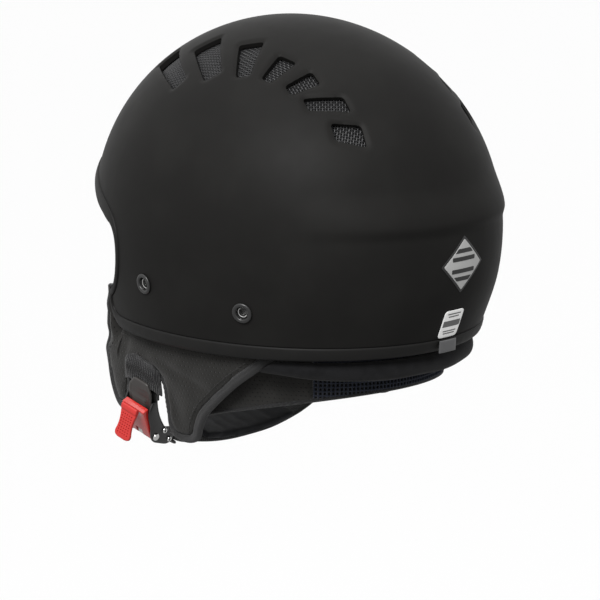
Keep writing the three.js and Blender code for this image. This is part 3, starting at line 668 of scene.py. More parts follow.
def inside(points, outline):
    a, b = outline, np.roll(outline, -1, 0)
    x, y = points[:, 0][:, None], points[:, 1][:, None]
    crosses = (a[:, 1] > y) != (b[:, 1] > y)
    with np.errstate(divide="ignore", invalid="ignore"):
        at = a[:, 0] + (y - a[:, 1]) / (b[:, 1] - a[:, 1]) * (b[:, 0] - a[:, 0])
    return (np.sum(crosses & (x < at), axis=1) % 2) == 1


def vent_roll(points, normals):
    """Rolls the shell's surface over softly towards each slot."""
    depth = np.zeros(len(points))
    for (middle, along, sideward, out), outline in slots:
        for side in (1, -1):
            local = points * [side, 1, 1] - middle
            local = np.stack([local @ along, local @ sideward, local @ out], -1)
            near = (np.abs(local) < (45, 20, 14)).all(1)
            flat = local[near, :2]
            if not len(flat):
                continue
            gap = distance(flat, outline, closed=True)
            gap[inside(flat, outline)] = 0
            fall = 1.5 * (1 - np.clip(gap / 3.6, 0, 1)) ** 2.2
            depth[near] = np.maximum(depth[near], fall)
    return points - normals * depth[:, None]


def snap_frame(spot, side):
    place = from_side(*spot)
    out = normal_at(angle_of(place), place[2])
    place, out = place * [side, 1, 1], out * [side, 1, 1]
    turn = Vector((0, 0, 1)).rotation_difference(Vector(out)).to_matrix()
    return place, np.array(turn)


def lathe(profile, steps, loop=False):
    """Turns a profile of radius and height about Z."""
    turn = np.linspace(0, 2 * math.pi, steps, endpoint=False)
    profile = np.asarray(profile, float)
    reach, height = profile[:, :1], np.repeat(profile[:, 1:], steps, 1)
    return rings_mesh(np.stack([reach * np.cos(turn), reach * np.sin(turn), height], -1), loop)


def at_frame(part, place, turn):
    points, faces = part
    return points @ turn.T + place, faces


snap_spots = [(f"{w}_{h}", snap_frame(SNAPS[w], s)) for w in SNAPS for h, s in (("left", 1), ("right", -1))]

SKIN = {"low": -8, "columns": 400, "wall": 4, "cut": 12}
angle, z, outer = dome_grid(0, SKIN["low"], SKIN["columns"], 34, 126)
grid_angle, grid_z = np.meshgrid(angle, z)
normals = normal_at(grid_angle, np.minimum(grid_z, TOP - 1.5))
outer = vent_roll(outer.reshape(-1, 3), normals.reshape(-1, 3)).reshape(outer.shape)
_, _, inner = dome_grid(SKIN["wall"], SKIN["low"], SKIN["columns"], 10, 26)
shell = clean(mesh_of("shell_skin", *dome_shell(outer, inner)))
boolean(shell, opening_prism())
snap_holes = [at_frame(lathe([(5.0, -9), (5.0, 4)], 40), *spot) for _, spot in snap_spots]
boolean(shell, merge(slot_tools(-SKIN["cut"], SKIN["cut"]), *snap_holes))
finish(shell, shell_look, slot="shell", replaces=["outer_shell"], sharp=38)


# ---- rubber trim and its joiner ----
def edge_loop():
    """The shell's edge in space: the left half from the back to the brow, then the right half."""
    turn = np.linspace(math.pi / 2, math.asin(OPENING[0][0] / float(section(0.0)[1])), 400)
    level = surface(turn, 0.0)
    level[0] = (0, level[0][1], 0)
    rise = opening_curve[1:]
    rise = rise[np.abs(rise[:, 0]) < section(rise[:, 1])[1] - 0.02]
    path = np.vstack([level, from_side(rise[:, 0], rise[:, 1])])
    last = path[-1]
    path = np.vstack([path, [0, -float(section(last[2])[1]), last[2]]])
    left = even(path, 1.5)
    return np.vstack([left, left[-2:0:-1] * [-1, 1, 1]])


rim = edge_loop()
along = unit(np.roll(rim, -1, 0) - np.roll(rim, 1, 0))
rim_out = normal_at(angle_of(rim), rim[:, 2])
away = unit(np.cross(rim_out, along))
down = np.maximum(0, -away[:, 2]) ** 2
depth = mix(TRIM["edge"], TRIM["rim"], down)


def trim_profile(d, level):
    """Section of the trim: distance below the shell's edge and height over the shell."""
    g, bulge, low_side, proud = TRIM["gap"], 0.35 * level, TRIM["inside"], TRIM["proud"]
    return [
        (g + 0.2, -1.4), (g + 0.25, 0.35), (g + 0.6, 0.75), (g + 1.3, proud), (0.35 * d + 1, proud + bulge),
        (0.6 * d + 0.6, proud + bulge * 1.1), (d - 1.9, proud + bulge * 0.4), (d - 1.0, proud - 0.3),
        (d - 0.3, 0.1), (d, -0.9), (d, 1.5 - low_side), (d - 0.6, 0.4 - low_side), (d - 1.6, -low_side),
        (g + 1.2, -low_side), (g + 0.5, 1 - low_side),
    ]


rings = []
for p, o, a, d, level in zip(rim, rim_out, away, depth, down):
    rings.append([p + a * u + o * v for u, v in trim_profile(d, level)])
piece("edge_trim", rings_mesh(rings, loop=True), trim_look,
      slot="trim_rubber", replaces=["rim_trim"], sharp=60)

u, v = np.meshgrid(np.linspace(-1, 1, 29), np.linspace(-1, 1, 17))
base_y = float(section(0.0)[2])
pillow = (1 - u ** 8) * (1 - v ** 8)
x, zz = 7 * u, -4.7 + 3.7 * v
face_y = base_y + 2.3 - 0.005 * x * x + 0.06 * (zz + 0.2) + 0.35 * pillow - 0.35
clip = slab(np.stack([x, face_y, zz], -1), np.stack([x, face_y - 1, zz], -1))
joiner = mesh_of("trim_clip", *clip)
finish(bevel(clean(joiner), 0.3), joiner_look, slot="trim_rubber", replaces=["trim_joiner"])


# ---- visor snaps ----
RING = [
    (3.7, -4.4), (4.6, -4.4), (4.6, 0.25), (5.9, 0.3), (6.1, 0.55), (6.05, 0.95), (5.75, 1.3), (5.2, 1.5),
    (4.6, 1.5), (4.15, 1.35), (3.85, 1.05), (3.7, 0.6),
]
STUD = [(3.15, -4.4), (3.15, -0.75), (2.95, -0.55), (2.7, -0.7), (2.6, -3.9), (0.1, -3.9)]
# A black disc on the floor of each hollow stud: painted shade inside the stud.
SNAP_SHADE_DISC = [(0.05, -3.88), (2.55, -3.88), (2.5, -3.6), (0.05, -3.55)]
for name, spot in snap_spots:
    piece(f"snap_socket_{name}", at_frame(lathe(RING, 56, loop=True), *spot), snap_look,
          slot="trim_rubber", replaces=[f"snap_ring_{name}"], sharp=50)
    piece(f"snap_pin_{name}", at_frame(lathe(STUD, 40), *spot), chrome_look,
          slot="bright_metal", replaces=[f"snap_stud_{name}"])
    # the black disc inside the stud is painted shade
    piece(f"snap_painted_shade_{name}", at_frame(lathe(SNAP_SHADE_DISC, 32), *spot), dark_print_and_shade_look, slot="bright_metal")


# ---- mesh behind the vents ----
def on_dome(points, inset):
    """Moves points above the equator onto the dome at an inset."""
    q = points - [0, 0, EQUATOR]
    reach = np.where(q[..., 1] < 0, SHELL["front"], SHELL["rear"]) - inset
    size = (q[..., 0] / (SHELL["side"] - inset)) ** 2 + (q[..., 1] / reach) ** 2
    size = size + (q[..., 2] / (TOP - inset - EQUATOR)) ** 2
    return q / np.sqrt(size)[..., None] + [0, 0, EQUATOR]


def tube(path, radius, sides, guide, flat=1.0):
    """A bar along a path. The guide turns its section, and flat squeezes it along the guide."""
    path = np.asarray(path, float)
    along = unit(np.gradient(path, axis=0))
    side = unit(np.cross(along, np.broadcast_to(guide, path.shape)))
    up = np.cross(side, along)
    turn = np.linspace(0, 2 * math.pi, sides, endpoint=False)
    size = np.broadcast_to(radius, (len(path),))[:, None, None]
    c, s = np.cos(turn)[None, :, None], np.sin(turn)[None, :, None]
    return rings_mesh(path[:, None] + size * (side[:, None] * c + flat * up[:, None] * s))


WIRE = {"pitch": 1.7, "radius": 0.3, "margin": 2.2}


def slot_wires(slot):
    (middle, along, sideward, out), outline = slot
    edge = grow(outline, WIRE["margin"])
    low, high = edge.min(0), edge.max(0)
    parts = []
    for axis in (0, 1):
        across = 1 - axis
        for number, at in enumerate(np.arange(low[across], high[across], WIRE["pitch"])):
            run = np.arange(low[axis], high[axis] + 0.4, WIRE["pitch"] / 2)
            line = np.zeros((len(run), 2))
            line[:, axis], line[:, across] = run, at
            line = line[inside(line, edge)]
            if len(line) < 4:
                continue
            cell = np.round((line[:, axis] - low[axis]) / WIRE["pitch"] * 2).astype(int)
            sway = np.array([1, 0, -1, 0])[cell % 4] * (1 if (number + axis) % 2 else -1)
            flat = middle + line[:, :1] * along + line[:, 1:] * sideward
            path = on_dome(flat, 5.1) + 0.24 * sway[:, None] * out
            parts.append(tube(path, WIRE["radius"], 5, guide=out))
    return merge(*parts)


SCRIM_INSETS = (5.45, 5.95)


def scrim():
    """The dark backing cloth of the vents' mesh, a patch of the dome."""
    turn = np.radians(np.linspace(-64, 64, 90))
    lift = np.linspace(0.30, 1.18, 50)
    a, t = np.meshgrid(turn, lift)
    height = EQUATOR + (TOP - 5.5 - EQUATOR) * np.sin(t)
    return [surface(a, height, inset) for inset in SCRIM_INSETS]


wires = merge(*[slot_wires(s) for s in slots])
for (hand, turned), side in zip(HANDS, (1, -1)):
    piece(f"vent_weave_{hand}", turned(wires), wire_look, slot="vent_mesh", replaces=[f"vent_mesh_{hand}"])
    piece(f"vent_backing_{hand}", slab(*[s * [side, 1, 1] for s in scrim()]), scrim_look, slot="vent_mesh")


# ---- foam and padding from the frame's own solids ----
def remeshed(node, name, voxel, shrink=0.0, rounds=4):
    """A copy of a frame solid, remeshed evenly and softened."""
    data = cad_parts[node].data.copy()
    made = bpy.data.objects.new(name, data)
    bpy.context.scene.collection.objects.link(made)
    modifier = made.modifiers.new("grid", "REMESH")
    modifier.mode, modifier.voxel_size = "VOXEL", voxel * MM
    soften = made.modifiers.new("soften", "SMOOTH")
    soften.factor, soften.iterations = 0.5, rounds
    apply_modifiers(made)
    if shrink:
        made.data.update()
        normal = np.empty(len(made.data.vertices) * 3, np.float32)
        made.data.vertices.foreach_get("normal", normal)
        set_points(made, points_of(made) - normal.reshape(-1, 3) * shrink)
    return made


foam = remeshed("foam_liner", "bead_foam", 2.0, shrink=0.25, rounds=2)
finish(foam, foam_look, slot="foam", replaces=["foam_liner"])


CLOTH_FRAMES = 16


def swell(made, pressure, cap, hold=None):
    """Blows a pad up with a short cloth simulation, and limits how far any point may move."""
    before = points_of(made)
    scene = bpy.context.scene
    modifier = made.modifiers.new("cloth", "CLOTH")
    cloth = modifier.settings
    cloth.quality, cloth.mass = 4, 0.25
    cloth.tension_stiffness = cloth.compression_stiffness = 25
    cloth.shear_stiffness, cloth.bending_stiffness = 12, 1.5
    cloth.use_pressure, cloth.uniform_pressure_force = True, pressure
    cloth.effector_weights.gravity = 0
    modifier.collision_settings.use_collision = False
    if hold is not None:
        group = made.vertex_groups.new(name="hold")
        group.add([int(i) for i in np.nonzero(hold)[0]], 1.0, "REPLACE")
        cloth.vertex_group_mass = "hold"
    modifier.point_cache.frame_start, modifier.point_cache.frame_end = 1, CLOTH_FRAMES
    for step in range(1, CLOTH_FRAMES + 1):
        scene.frame_set(step)
    apply_modifiers(made)
    scene.frame_set(1)
    moved = points_of(made) - before
    far = np.linalg.norm(moved, axis=1, keepdims=True)
    set_points(made, before + moved * np.minimum(1, cap / np.maximum(far, 1e-6)))
    return made


def subdivide(made):
    modifier = made.modifiers.new("round", "SUBSURF")
    modifier.levels = modifier.render_levels = 1
    return apply_modifiers(made)


def mirrored(made, name):
    data = made.data.copy()
    data.transform(Matrix.Scale(-1, 4, (1, 0, 0)))
    data.flip_normals()
    copy = bpy.data.objects.new(name, data)
    bpy.context.scene.collection.objects.link(copy)
    return copy


for node, name, fill in (
        ("crown_pad", "crown_padding", 0.5), ("temple_pad_left", "temple_padding_left", 0.6),
        ("nape_pad", "nape_padding", 0.6), ("brow_pad", "brow_padding", 0.6)):
    pad = remeshed(node, name, 3.2, shrink=0.5)
    swell(pad, 3.0, 1.6)
    subdivide(pad)
    if name.endswith("_left"):
        right_name, right_node = [text.replace("_left", "_right") for text in (name, node)]
        other = mirrored(pad, right_name)
        finish(other, lining_look, slot="lining", replaces=[right_node], pad=fill, sharp=0)
    finish(pad, lining_look, slot="lining", replaces=[node], pad=fill, sharp=0)


# ---- ear flaps ----
flap_curve = spline(FLAP_EDGE, 1.0)
TUCKED_IN = 8.2


def flap_face(y, z):
    """How far out the flap's outer face lies at a height and depth."""
    y, z = np.asarray(y, float), np.asarray(z, float)
    tucked = from_side(y, np.zeros_like(z))[..., 0] - TUCKED_IN
    hanging = 95.2 - (y + 6) ** 2 / 560
    return mix(tucked, hanging, smooth(7, 26, -z)) - 0.13 * np.maximum(0, -z - 8)


def crease(y, z, start, end, width, depth):
    """A soft valley along a line on the flap."""
    a, b = np.array(start, float), np.array(end, float)
    p = np.stack([y, z], -1)
    t = np.clip((p - a) @ (b - a) / ((b - a) @ (b - a)), 0, 1)
    gap = np.linalg.norm(p - (a + t[..., None] * (b - a)), axis=-1)
    return -depth * np.exp(-(gap / width) ** 2) * np.sin(np.pi * np.clip(t, 0.08, 0.92)) ** 0.5


FLAP_CREASES = [
    ((-24, -22), (20, -36), 3.2, 1.1), ((-60, -6), (-56, -46), 4.5, 1.0),
    ((-14, -40), (-10, -60), 5.0, 0.8), ((-40, -10), (-10, -14), 4.0, 0.6),
]


def flap_folds(y, z):
    waves = 0.45 * np.sin(0.11 * y + 0.05 * z + 1) * np.sin(0.09 * z - 0.04 * y)
    waves += 0.22 * np.sin(0.26 * y - 0.13 * z) * np.sin(0.21 * z + 0.5)
    for line in FLAP_CREASES:
        waves += crease(y, z, *line)
    return waves


def make_flap(name):
    flap = remeshed("ear_flap_left", name, 2.3, shrink=0.4, rounds=3)
    swell(flap, 2.5, 1.3, hold=points_of(flap)[:, 2] > -3.5)
    subdivide(flap)
    spots = points_of(flap)
    inner = flap_face(spots[:, 1], spots[:, 2]) - spots[:, 0]
    edge_gap = distance(spots[:, 1:], flap_curve)
    show = smooth(3.0, 9.0, edge_gap) * (1 - smooth(2.5, 5.5, inner)) * smooth(1, 6, -spots[:, 2])
    spots[:, 0] += flap_folds(spots[:, 1], spots[:, 2]) * show
    set_points(flap, spots)
    flat_coordinates(flap, spots[:, 1:])
    return flap


left_flap = make_flap("flap_cushion_left")
right_flap = mirrored(left_flap, "flap_cushion_right")
for hand, flap in (("left", left_flap), ("right", right_flap)):
    finish(flap, suede_look, f"ear_flap_{hand}", "flap_cloth", [f"ear_flap_{hand}"], sharp=0, pad=0.55)

KNOB_PITCH = 5
left_back = remeshed("flap_lining_left", "flap_lining_cloth_left", 1.9, rounds=3)
subdivide(left_back)
spots = points_of(left_back)
knob = np.maximum(0, np.prod(np.cos(spots[:, 1:] * 2 * math.pi / KNOB_PITCH), axis=1))
spots[:, 0] -= 0.35 * knob * smooth(1.5, 5, distance(spots[:, 1:], flap_curve))
set_points(left_back, spots)
flat_coordinates(left_back, spots[:, 1:])
right_back = mirrored(left_back, "flap_lining_cloth_right")
for hand, back in (("left", left_back), ("right", right_back)):
    finish(back, lining_look, f"ear_flap_{hand}", "spacer_mesh", [f"flap_lining_{hand}"], sharp=0, pad=0.4)


def stitches(path, out, length, radius, skip=1.0):
    """Short threads laid along a path, each a little arch."""
    run = lengths(path)
    pitch = length + skip
    starts = np.arange(pitch, run[-1] - pitch, pitch)
    parts = []
    for at in starts:
        t = at + length * np.array([0, 0.12, 0.5, 0.88, 1.0])
        line, normal = [np.stack([np.interp(t, run, row) for row in rows.T], -1) for rows in (path, out)]
        line = line + normal * (np.array([-0.3, 0.05, 0.2, 0.05, -0.3]) + 0.05)[:, None]
        parts.append(tube(line, radius * np.array([0.5, 0.9, 1, 0.9, 0.5]), 6, guide=normal[2]))
    return merge(*parts)


NOTCH_TIPS = ((-66.0, -60.5), (-20.6, -62.0))


def flap_edging():
    """The tape bound round the flap: wide and double-ridged at the back, narrow at the front."""
    path = np.insert(flap_curve, 0, flap_face(*flap_curve.T) - 3.2, axis=1)
    along = unit(np.gradient(path, axis=0))
    outward = unit(np.cross(along, (1, 0, 0)))
    if outward[5][1] > 0:
        outward = -outward
    face = unit(np.cross(outward, along))
    face = face * np.sign(face[:, :1])
    run = lengths(path) / lengths(path)[-1]
    wide = smooth(0.60, 0.72, run)
    start, stop = [run[np.argmin(np.linalg.norm(flap_curve - tip, axis=1))] for tip in NOTCH_TIPS]
    slim = 1 - 0.62 * smooth(start - 0.01, start + 0.03, run) * (1 - smooth(stop - 0.03, stop + 0.01, run))
    turn = np.linspace(0, 2 * math.pi, 28, endpoint=False)
    c, s = np.cos(turn), np.sin(turn)
    rings = []
    for p, o, f, w, k in zip(path, outward, face, wide, slim):
        ridge = 1 - 0.16 * w * np.exp(-((c - 0.05) / 0.16) ** 2) * np.clip(s, 0, 1)
        u = ((1.9 + 1.5 * w) * c - 1.4 * w) * k - 0.9 * (1 - k)
        u = np.where(c < 0, u - 3.0 * (1 - w) * np.abs(c), u)
        v = (2.0 + 0.3 * w) * s * ridge * (0.55 + 0.45 * k)
        rings.append(p + u[:, None] * o + v[:, None] * f)
    body = rings_mesh(np.array(rings))
    seam = path - outward * (3.0 + 2.9 * wide[:, None]) + face * 2.9
    seam[:, 0] = flap_face(seam[:, 1], seam[:, 2]) + 0.1
    keep = seam[:, 2] < -12
    return body, stitches(seam[keep], face[keep], 2.0, 0.22)


edging, seam = flap_edging()
for hand, turned in HANDS:
    tape_piece(f"flap_binding_{hand}", turned(edging), lambda x, y, z: (y + z, x + z - y),
               f"ear_flap_{hand}", "binding", [f"flap_piping_{hand}"])
    piece(f"flap_stitching_{hand}", turned(seam), thread_look, f"ear_flap_{hand}", "binding")


def notch_elastic():
    """A gathered elastic band that hangs from the top of the notch over the buckle's end."""
    y = np.linspace(-55.5, -24.0, 280)
    edge = spline([
        (-57, -36), (-54, -30.5), (-49, -28.2), (-44, -28.0), (-36, -30.2), (-28.5, -32.4),
        (-24, -37), (-22.5, -42),
    ], 0.5)
    top = np.interp(y, edge[:, 0], edge[:, 1]) + 6.0
    low = np.interp(y, [-56, -50, -40, -30, -24], [-38.5, -37.2, -39.2, -42.2, -44.5])
    yy, t = np.meshgrid(y, np.linspace(0, 1, 40))
    zz = mix(low[None, :], top[None, :], t)
    gather = 0.26 * np.sin(yy * 2 * math.pi / 1.6 + 0.6 * np.sin(zz * 0.7))
    gather = gather * np.sin(np.pi * np.clip(t, 0.03, 0.97)) ** 0.5
    roll_over = 1.5 * np.exp(-((t - 0.62) / 0.2) ** 2) + 0.5 * np.sin(yy * 0.5) * (1 - t)
    end = smooth(0, 4, np.minimum(yy + 55.5, -24.0 - yy))
    x = np.maximum(90.9, flap_face(yy, zz) + 0.7) + (gather + roll_over) * end - 1.2 * (1 - end)
    front = np.stack([x, yy, zz], -1)
    return slab(front, front - [1.0, 0, 0])


elastic = notch_elastic()
for hand, turned in HANDS:
    tape_piece(f"notch_elastic_{hand}", turned(elastic), lambda x, y, z: (y + z, x),
               f"ear_flap_{hand}", "binding")


def front_wing():
    """The flap's front edge where it rises in front of the shell: a soft fin and its piping."""
    front = spline([(-70.8, 15.5), (-74, 8), (-79, -3), (-80.6, -12), (-80.2, -24), (-79.1, -38)], 0.8)
    back = spline([(-69.9, 15.0), (-69.8, 9), (-68.0, 2), (-65.5, -12), (-66.5, -34)], 0.8)
    t = np.linspace(0, 1, 60)
    ends = [(line, np.linspace(0, 1, len(line))) for line in (front, back)]
    a, b = [np.stack([np.interp(t, part, row) for row in line.T], -1) for line, part in ends]
    grid = np.array([mix(a, b, s) for s in np.linspace(0, 1, 12)])
    y, z = grid[..., 0], grid[..., 1]
    low = smooth(10, 28, -z)
    flare = 2.2 * smooth(-12, -2, -z)
    level = mix(from_side(y, np.maximum(z, -2))[..., 0] - 1.2 + flare, flap_face(y, z) - 0.6, low)
    across = np.linspace(0, 1, 12)[:, None]
    level = level - 1.2 * (1 - smooth(0.0, 0.5, across))
    under = smooth(0.35, 0.85, across) * smooth(-12, -3, -z)
    level = mix(level, np.minimum(level, flap_face(y, np.minimum(z, 0)) - 0.3), under)
    face = np.stack([level, y, z], -1)
    body = slab(face, face - [3.4, 0, 0])
    y_pipe, z_pipe = front.T
    risen = from_side(y_pipe, np.maximum(z_pipe, -2))[:, 0] - 3.0 + 2.2 * smooth(-12, -2, -z_pipe)
    pipe_x = mix(risen, flap_face(y_pipe, z_pipe) - 3.2, smooth(10, 28, -z_pipe))
    pipe = tube(np.stack([pipe_x, y_pipe, z_pipe], -1), 1.9, 18, guide=(1, 0, 0))
    return body, grid.reshape(-1, 2), pipe


wing, wing_flat, wing_pipe = front_wing()
for hand, turned in HANDS:
    fin = mesh_of(f"flap_wing_{hand}", *turned(wing))
    flat_coordinates(fin, np.vstack([wing_flat, wing_flat]))
    finish(bevel(clean(fin, 0.0000001), 0.8, 3, 50), suede_look, f"ear_flap_{hand}", "flap_cloth", sharp=0)
    tape_piece(f"flap_wing_binding_{hand}", turned(wing_pipe), lambda x, y, z: (y, z),
               f"ear_flap_{hand}", "binding")


# ---- neck roll and curtain ----
def roll_rings():
    turn = np.linspace(0, 2 * math.pi, 110, endpoint=False)
    rings = []
    for degrees in np.linspace(10, 170, 260):
        a = math.radians(degrees)
        from_back = abs(a - math.pi / 2) / (math.pi / 2)
        tall = float(mix(ROLL["rear_tall"], ROLL["side_tall"], smooth(0.3, 0.8, from_back)))
        middle = ROLL["top"] - tall
        rib = 0.16 * np.abs(np.sin(turn * 17))
        fold = 0.35 * np.sin(a * 9 + 1) * np.sin(turn + a * 4) + 0.2 * np.sin(a * 23) * np.cos(turn * 2 + 1)
        half = ROLL["half"] - 0.25 + rib + fold * 0.7
        out = half * np.cos(turn)
        high = (tall - 0.25 + rib) * np.sin(turn) + 0.25 * np.sin(a * 14) * np.clip(-np.sin(turn), 0, 1)
        crease_at = 0.9 * math.exp(-((degrees - 58) / 5.0) ** 2)
        crease_at += 0.8 * math.exp(-((degrees - 128) / 6.0) ** 2)
        out = out - crease_at * np.exp(-((np.cos(turn) - 1) / 0.25) ** 2)
        x, y = (ROLL["side"] + out) * math.cos(a), (ROLL["rear"] + out) * math.sin(a)
        rings.append(np.stack([x, y, middle + high], -1))
    return rings_mesh(rings)


def flap_keepout():
    """The space the flap's outline takes, with room for its binding."""
    along = unit(np.gradient(flap_curve, axis=0))
    beside = BINDING_ROOM * np.stack([along[:, 1], -along[:, 0]], -1)
    moved = flap_curve + (-beside if beside[40][0] > 0 else beside)
    moved = moved[distance(moved, flap_curve) >= BINDING_ROOM * 0.97]
    outline = np.vstack([[moved[0][0], 4], moved, [moved[-1][0], 4]])
    return prism(outline, 40, 120)


roll = clean(mesh_of("neck_bolster", *roll_rings()))
keepout = flap_keepout()
boolean(roll, merge(keepout, flip(keepout)))
finish(roll, roll_look, slot="neck_cloth", replaces=["neck_roll"], sharp=50, pad=0.6)


def curtain_low(degrees):
    """How low the curtain hangs."""
    return mix(CURTAIN["low_rear"], CURTAIN["low_side"], (np.abs(90 - degrees) / 90) ** 2.1)


def curtain_face(degrees, z, lean):
    a = np.radians(degrees)
    lean = 0.09 * z - lean
    return np.stack([(CURTAIN["side"] + lean) * np.cos(a), (CURTAIN["rear"] + lean) * np.sin(a), z], -1)


def curtain(start, stop, columns, rows, relief):
    """Part of the curtain, padded between its outer face and its inner face."""
    degrees, v = np.meshgrid(np.linspace(start, stop, columns), np.linspace(0, 1, rows))
    low = curtain_low(degrees)
    z = mix(low, CURTAIN["top"], v)
    run = np.radians(degrees) * 0.5 * (CURTAIN["side"] + CURTAIN["rear"])
    edge = np.minimum((stop - degrees), (degrees - start)) * 1.6
    edge = np.minimum(edge, np.minimum(z - low, 3 + CURTAIN["top"] - z))
    pillow = -0.9 * (1 - smooth(0, 3.2, edge))
    outer = curtain_face(degrees, z, -(pillow + relief(run, z, edge)))
    inner = curtain_face(degrees, z, CURTAIN["thick"] + pillow)
    cloth = np.stack([run, z], -1).reshape(-1, 2)
    return slab(outer, inner), np.vstack([cloth, cloth])


def knobs(run, z, edge):
    across, up = np.abs(np.sin(run * math.pi / MESH_PITCH)), np.abs(np.sin(z * math.pi / MESH_PITCH))
    hole = smooth(0.35, 0.8, across) * smooth(0.3, 0.75, up)
    return (0.6 - 1.1 * hole + 0.4 * np.sin(run * 0.13) * np.sin(z * 0.1)) * smooth(0.8, 2.5, edge)


def waves(run, z, edge):
    return (0.7 * np.sin(run * 0.12 + z * 0.05) + 0.4 * np.sin(run * 0.31 - z * 0.11)) * smooth(0.5, 5, edge)


def hem():
    degrees = np.linspace(-2, 182, 150)
    path = curtain_face(degrees, curtain_low(degrees) + 1.0, 2.0)
    part = tube(path, 2.1, 20, guide=(0, 0, 1), flat=0.72)
    tape_piece("neck_hem", part, lambda x, y, z: (x + y, z), "helmet", "binding")


sides, side_flat = curtain(-2, 44.8, 120, 60, waves)
for hand, turned in HANDS:
    panel = mesh_of(f"neck_side_cloth_{hand}", *turned(sides))
    flat_coordinates(panel, side_flat)
    clean(panel, 0.0000001)
    finish(panel, suede_look, "helmet", "flap_cloth", [f"neck_side_panel_{hand}"], sharp=0, pad=0.3)
rear, rear_flat = curtain(45.2, 134.8, 420, 80, knobs)
panel = mesh_of("neck_mesh_cloth", *rear)
flat_coordinates(panel, rear_flat)
finish(clean(panel, 0.0000001), spacer_look, "helmet", "spacer_mesh", ["neck_mesh_panel"], sharp=0, pad=0.3)
hem()


# ---- strap and buckle, made in the strap's own leaning plane ----
ACROSS = np.array([0.0, 1.0, 0.0])


def arc(radius, degrees):
    a = math.radians(degrees)
    return np.array([BUCKLE["x"] + radius * math.cos(a), BUCKLE["z"] - radius * math.sin(a)])


def lean(part):
    """Moves a part made in the strap's plane (x, across, z) to its place."""
    points, faces = part
    turn = np.array(HARNESS.to_3x3())
    return np.asarray(points, float) @ turn.T + np.array(HARNESS.translation), faces


def parts_of(made):
    points = points_of(made)
    faces = [tuple(p.vertices) for p in made.data.polygons]
    bpy.data.objects.remove(made)
    return points, faces


def plate(outline, low, high, edge=0.25, segments=2):
    """A flat plate across the strap, with its edges rounded."""
    return parts_of(bevel(clean(mesh_of("plate", *prism(outline, low, high, "Y"))), edge, segments))


def arc_line(radius, start, stop, steps):
    return [arc(radius, d) for d in np.linspace(start, stop, steps)]


def arc_frame(radius, degrees, across):
    a = math.radians(degrees)
    x, z = arc(radius, degrees)
    out, up = np.array([math.cos(a), 0, -math.sin(a)]), np.array([math.sin(a), 0, math.cos(a)])
    return np.array([x, across, z]), np.stack([ACROSS, up, out], 1)


# Turns that lay a lathe's axis along X, and along Y.
TO_X = np.array([[0, 0, 1], [1, 0, 0], [0, 1, 0]], float)
TO_Y = np.array([[1, 0, 0], [0, 0, 1], [0, 1, 0]], float)
STRAP_TOP = [(93.4, 71), (93.4, 58), (91.2, 53), (82, 51.5), (76.4, 48), (75.4, 40), (76, 22)]
LEFT_ROUTE = STRAP_TOP + [(80, 16.5), (84.5, 12.5)] + [tuple(arc(44.4, d)) for d in (2, 9, 16)]
CHIN_ROUTE = [tuple(arc(47.6, d)) for d in (61, 67, 73)]
CHIN_ROUTE += [(48, -36.5), (28, -40.5), (0, -42.5), (-28, -40.5), (-50, -34.5)]
CHIN_ROUTE += [(-66, -24), (-75.5, -8), (-77.5, 8), (-76, 22)] + [(-x, z) for x, z in STRAP_TOP[-2::-1]]


def webbing(route, name):
    """A woven strap along a route in the strap's plane, with a thinner line inside each selvedge."""
    path = spline(route, 1.0)
    along = unit(np.gradient(path, axis=0))
    normal = np.stack([-along[:, 1], along[:, 0]], -1)
    face = np.linspace(-9.3, 9.3, 13)
    across = np.concatenate([face, [9.85, 10, 9.85], -face, [-9.85, -10, -9.85]])
    rise = np.concatenate([np.full(13, 1.0), [0.6, 0, -0.6], np.full(13, -1.0), [-0.6, 0, 0.6]])
    from_middle = np.abs(across) / 10
    rise = rise * (1 - 0.12 * smooth(0.55, 0.8, from_middle) + 0.12 * smooth(0.82, 0.9, from_middle))
    run = lengths(path)
    rings, cloth = [], []
    for p, n, r in zip(path, normal, run):
        drift = 0.15 * math.sin(r * 0.16)
        rings.append(np.stack([p[0] + n[0] * rise, across + drift, p[1] + n[1] * rise], -1))
        cloth.append(np.stack([np.full(len(across), r), across], -1))
    made = mesh_of(name, *lean(rings_mesh(rings)))
    flat_coordinates(made, np.vstack(cloth + [[[0, 0]], [[run[-1], 0]]]))
    return clean(made, 0.0000001)


def box_stitch(x, half, start, stop):
    """A sewn box with one diagonal on the strap's face, at heights start to stop."""
    parts = []
    corners = [(-half, start), (half, start), (half, stop), (-half, stop), (-half, start), (half, stop)]
    for a, b in zip(corners[:-1], corners[1:]):
        line = even(np.array([(x, *a), (x, *b)], float), 1.0)
        parts.append(stitches(line, np.tile([1.0, 0, 0], (len(line), 1)), 2.2, 0.3, 0.7))
    return merge(*parts)


left_strap = webbing(LEFT_ROUTE, "buckle_strap")
finish(left_strap, webbing_look, "helmet", "webbing", ["strap_left"], sharp=0)
chin_strap = webbing(CHIN_ROUTE, "chin_strap_web")
finish(chin_strap, webbing_look, None, "webbing", ["chin_strap"], sharp=0)
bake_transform(chin_strap)
cross_line = np.array([(-77.1, y, 30.0) for y in np.arange(-8, 8.1, 1)])
cross_stitches = stitches(cross_line, np.tile([-1.0, 0, 0], (len(cross_line), 1)), 1.8, 0.3)
sewing = merge(box_stitch(76.85, 7.0, 24, 37), cross_stitches)
piece("strap_sewing", lean(sewing), thread_look, "helmet", "webbing")
pad = remeshed("chin_pad", "chin_padding", 1.5, shrink=0.3, rounds=2)
swell(pad, 2.5, 0.9)
subdivide(pad)
finish(pad, lining_look, None, "neck_cloth", ["chin_pad"], sharp=0, pad=0.5)
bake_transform(pad)

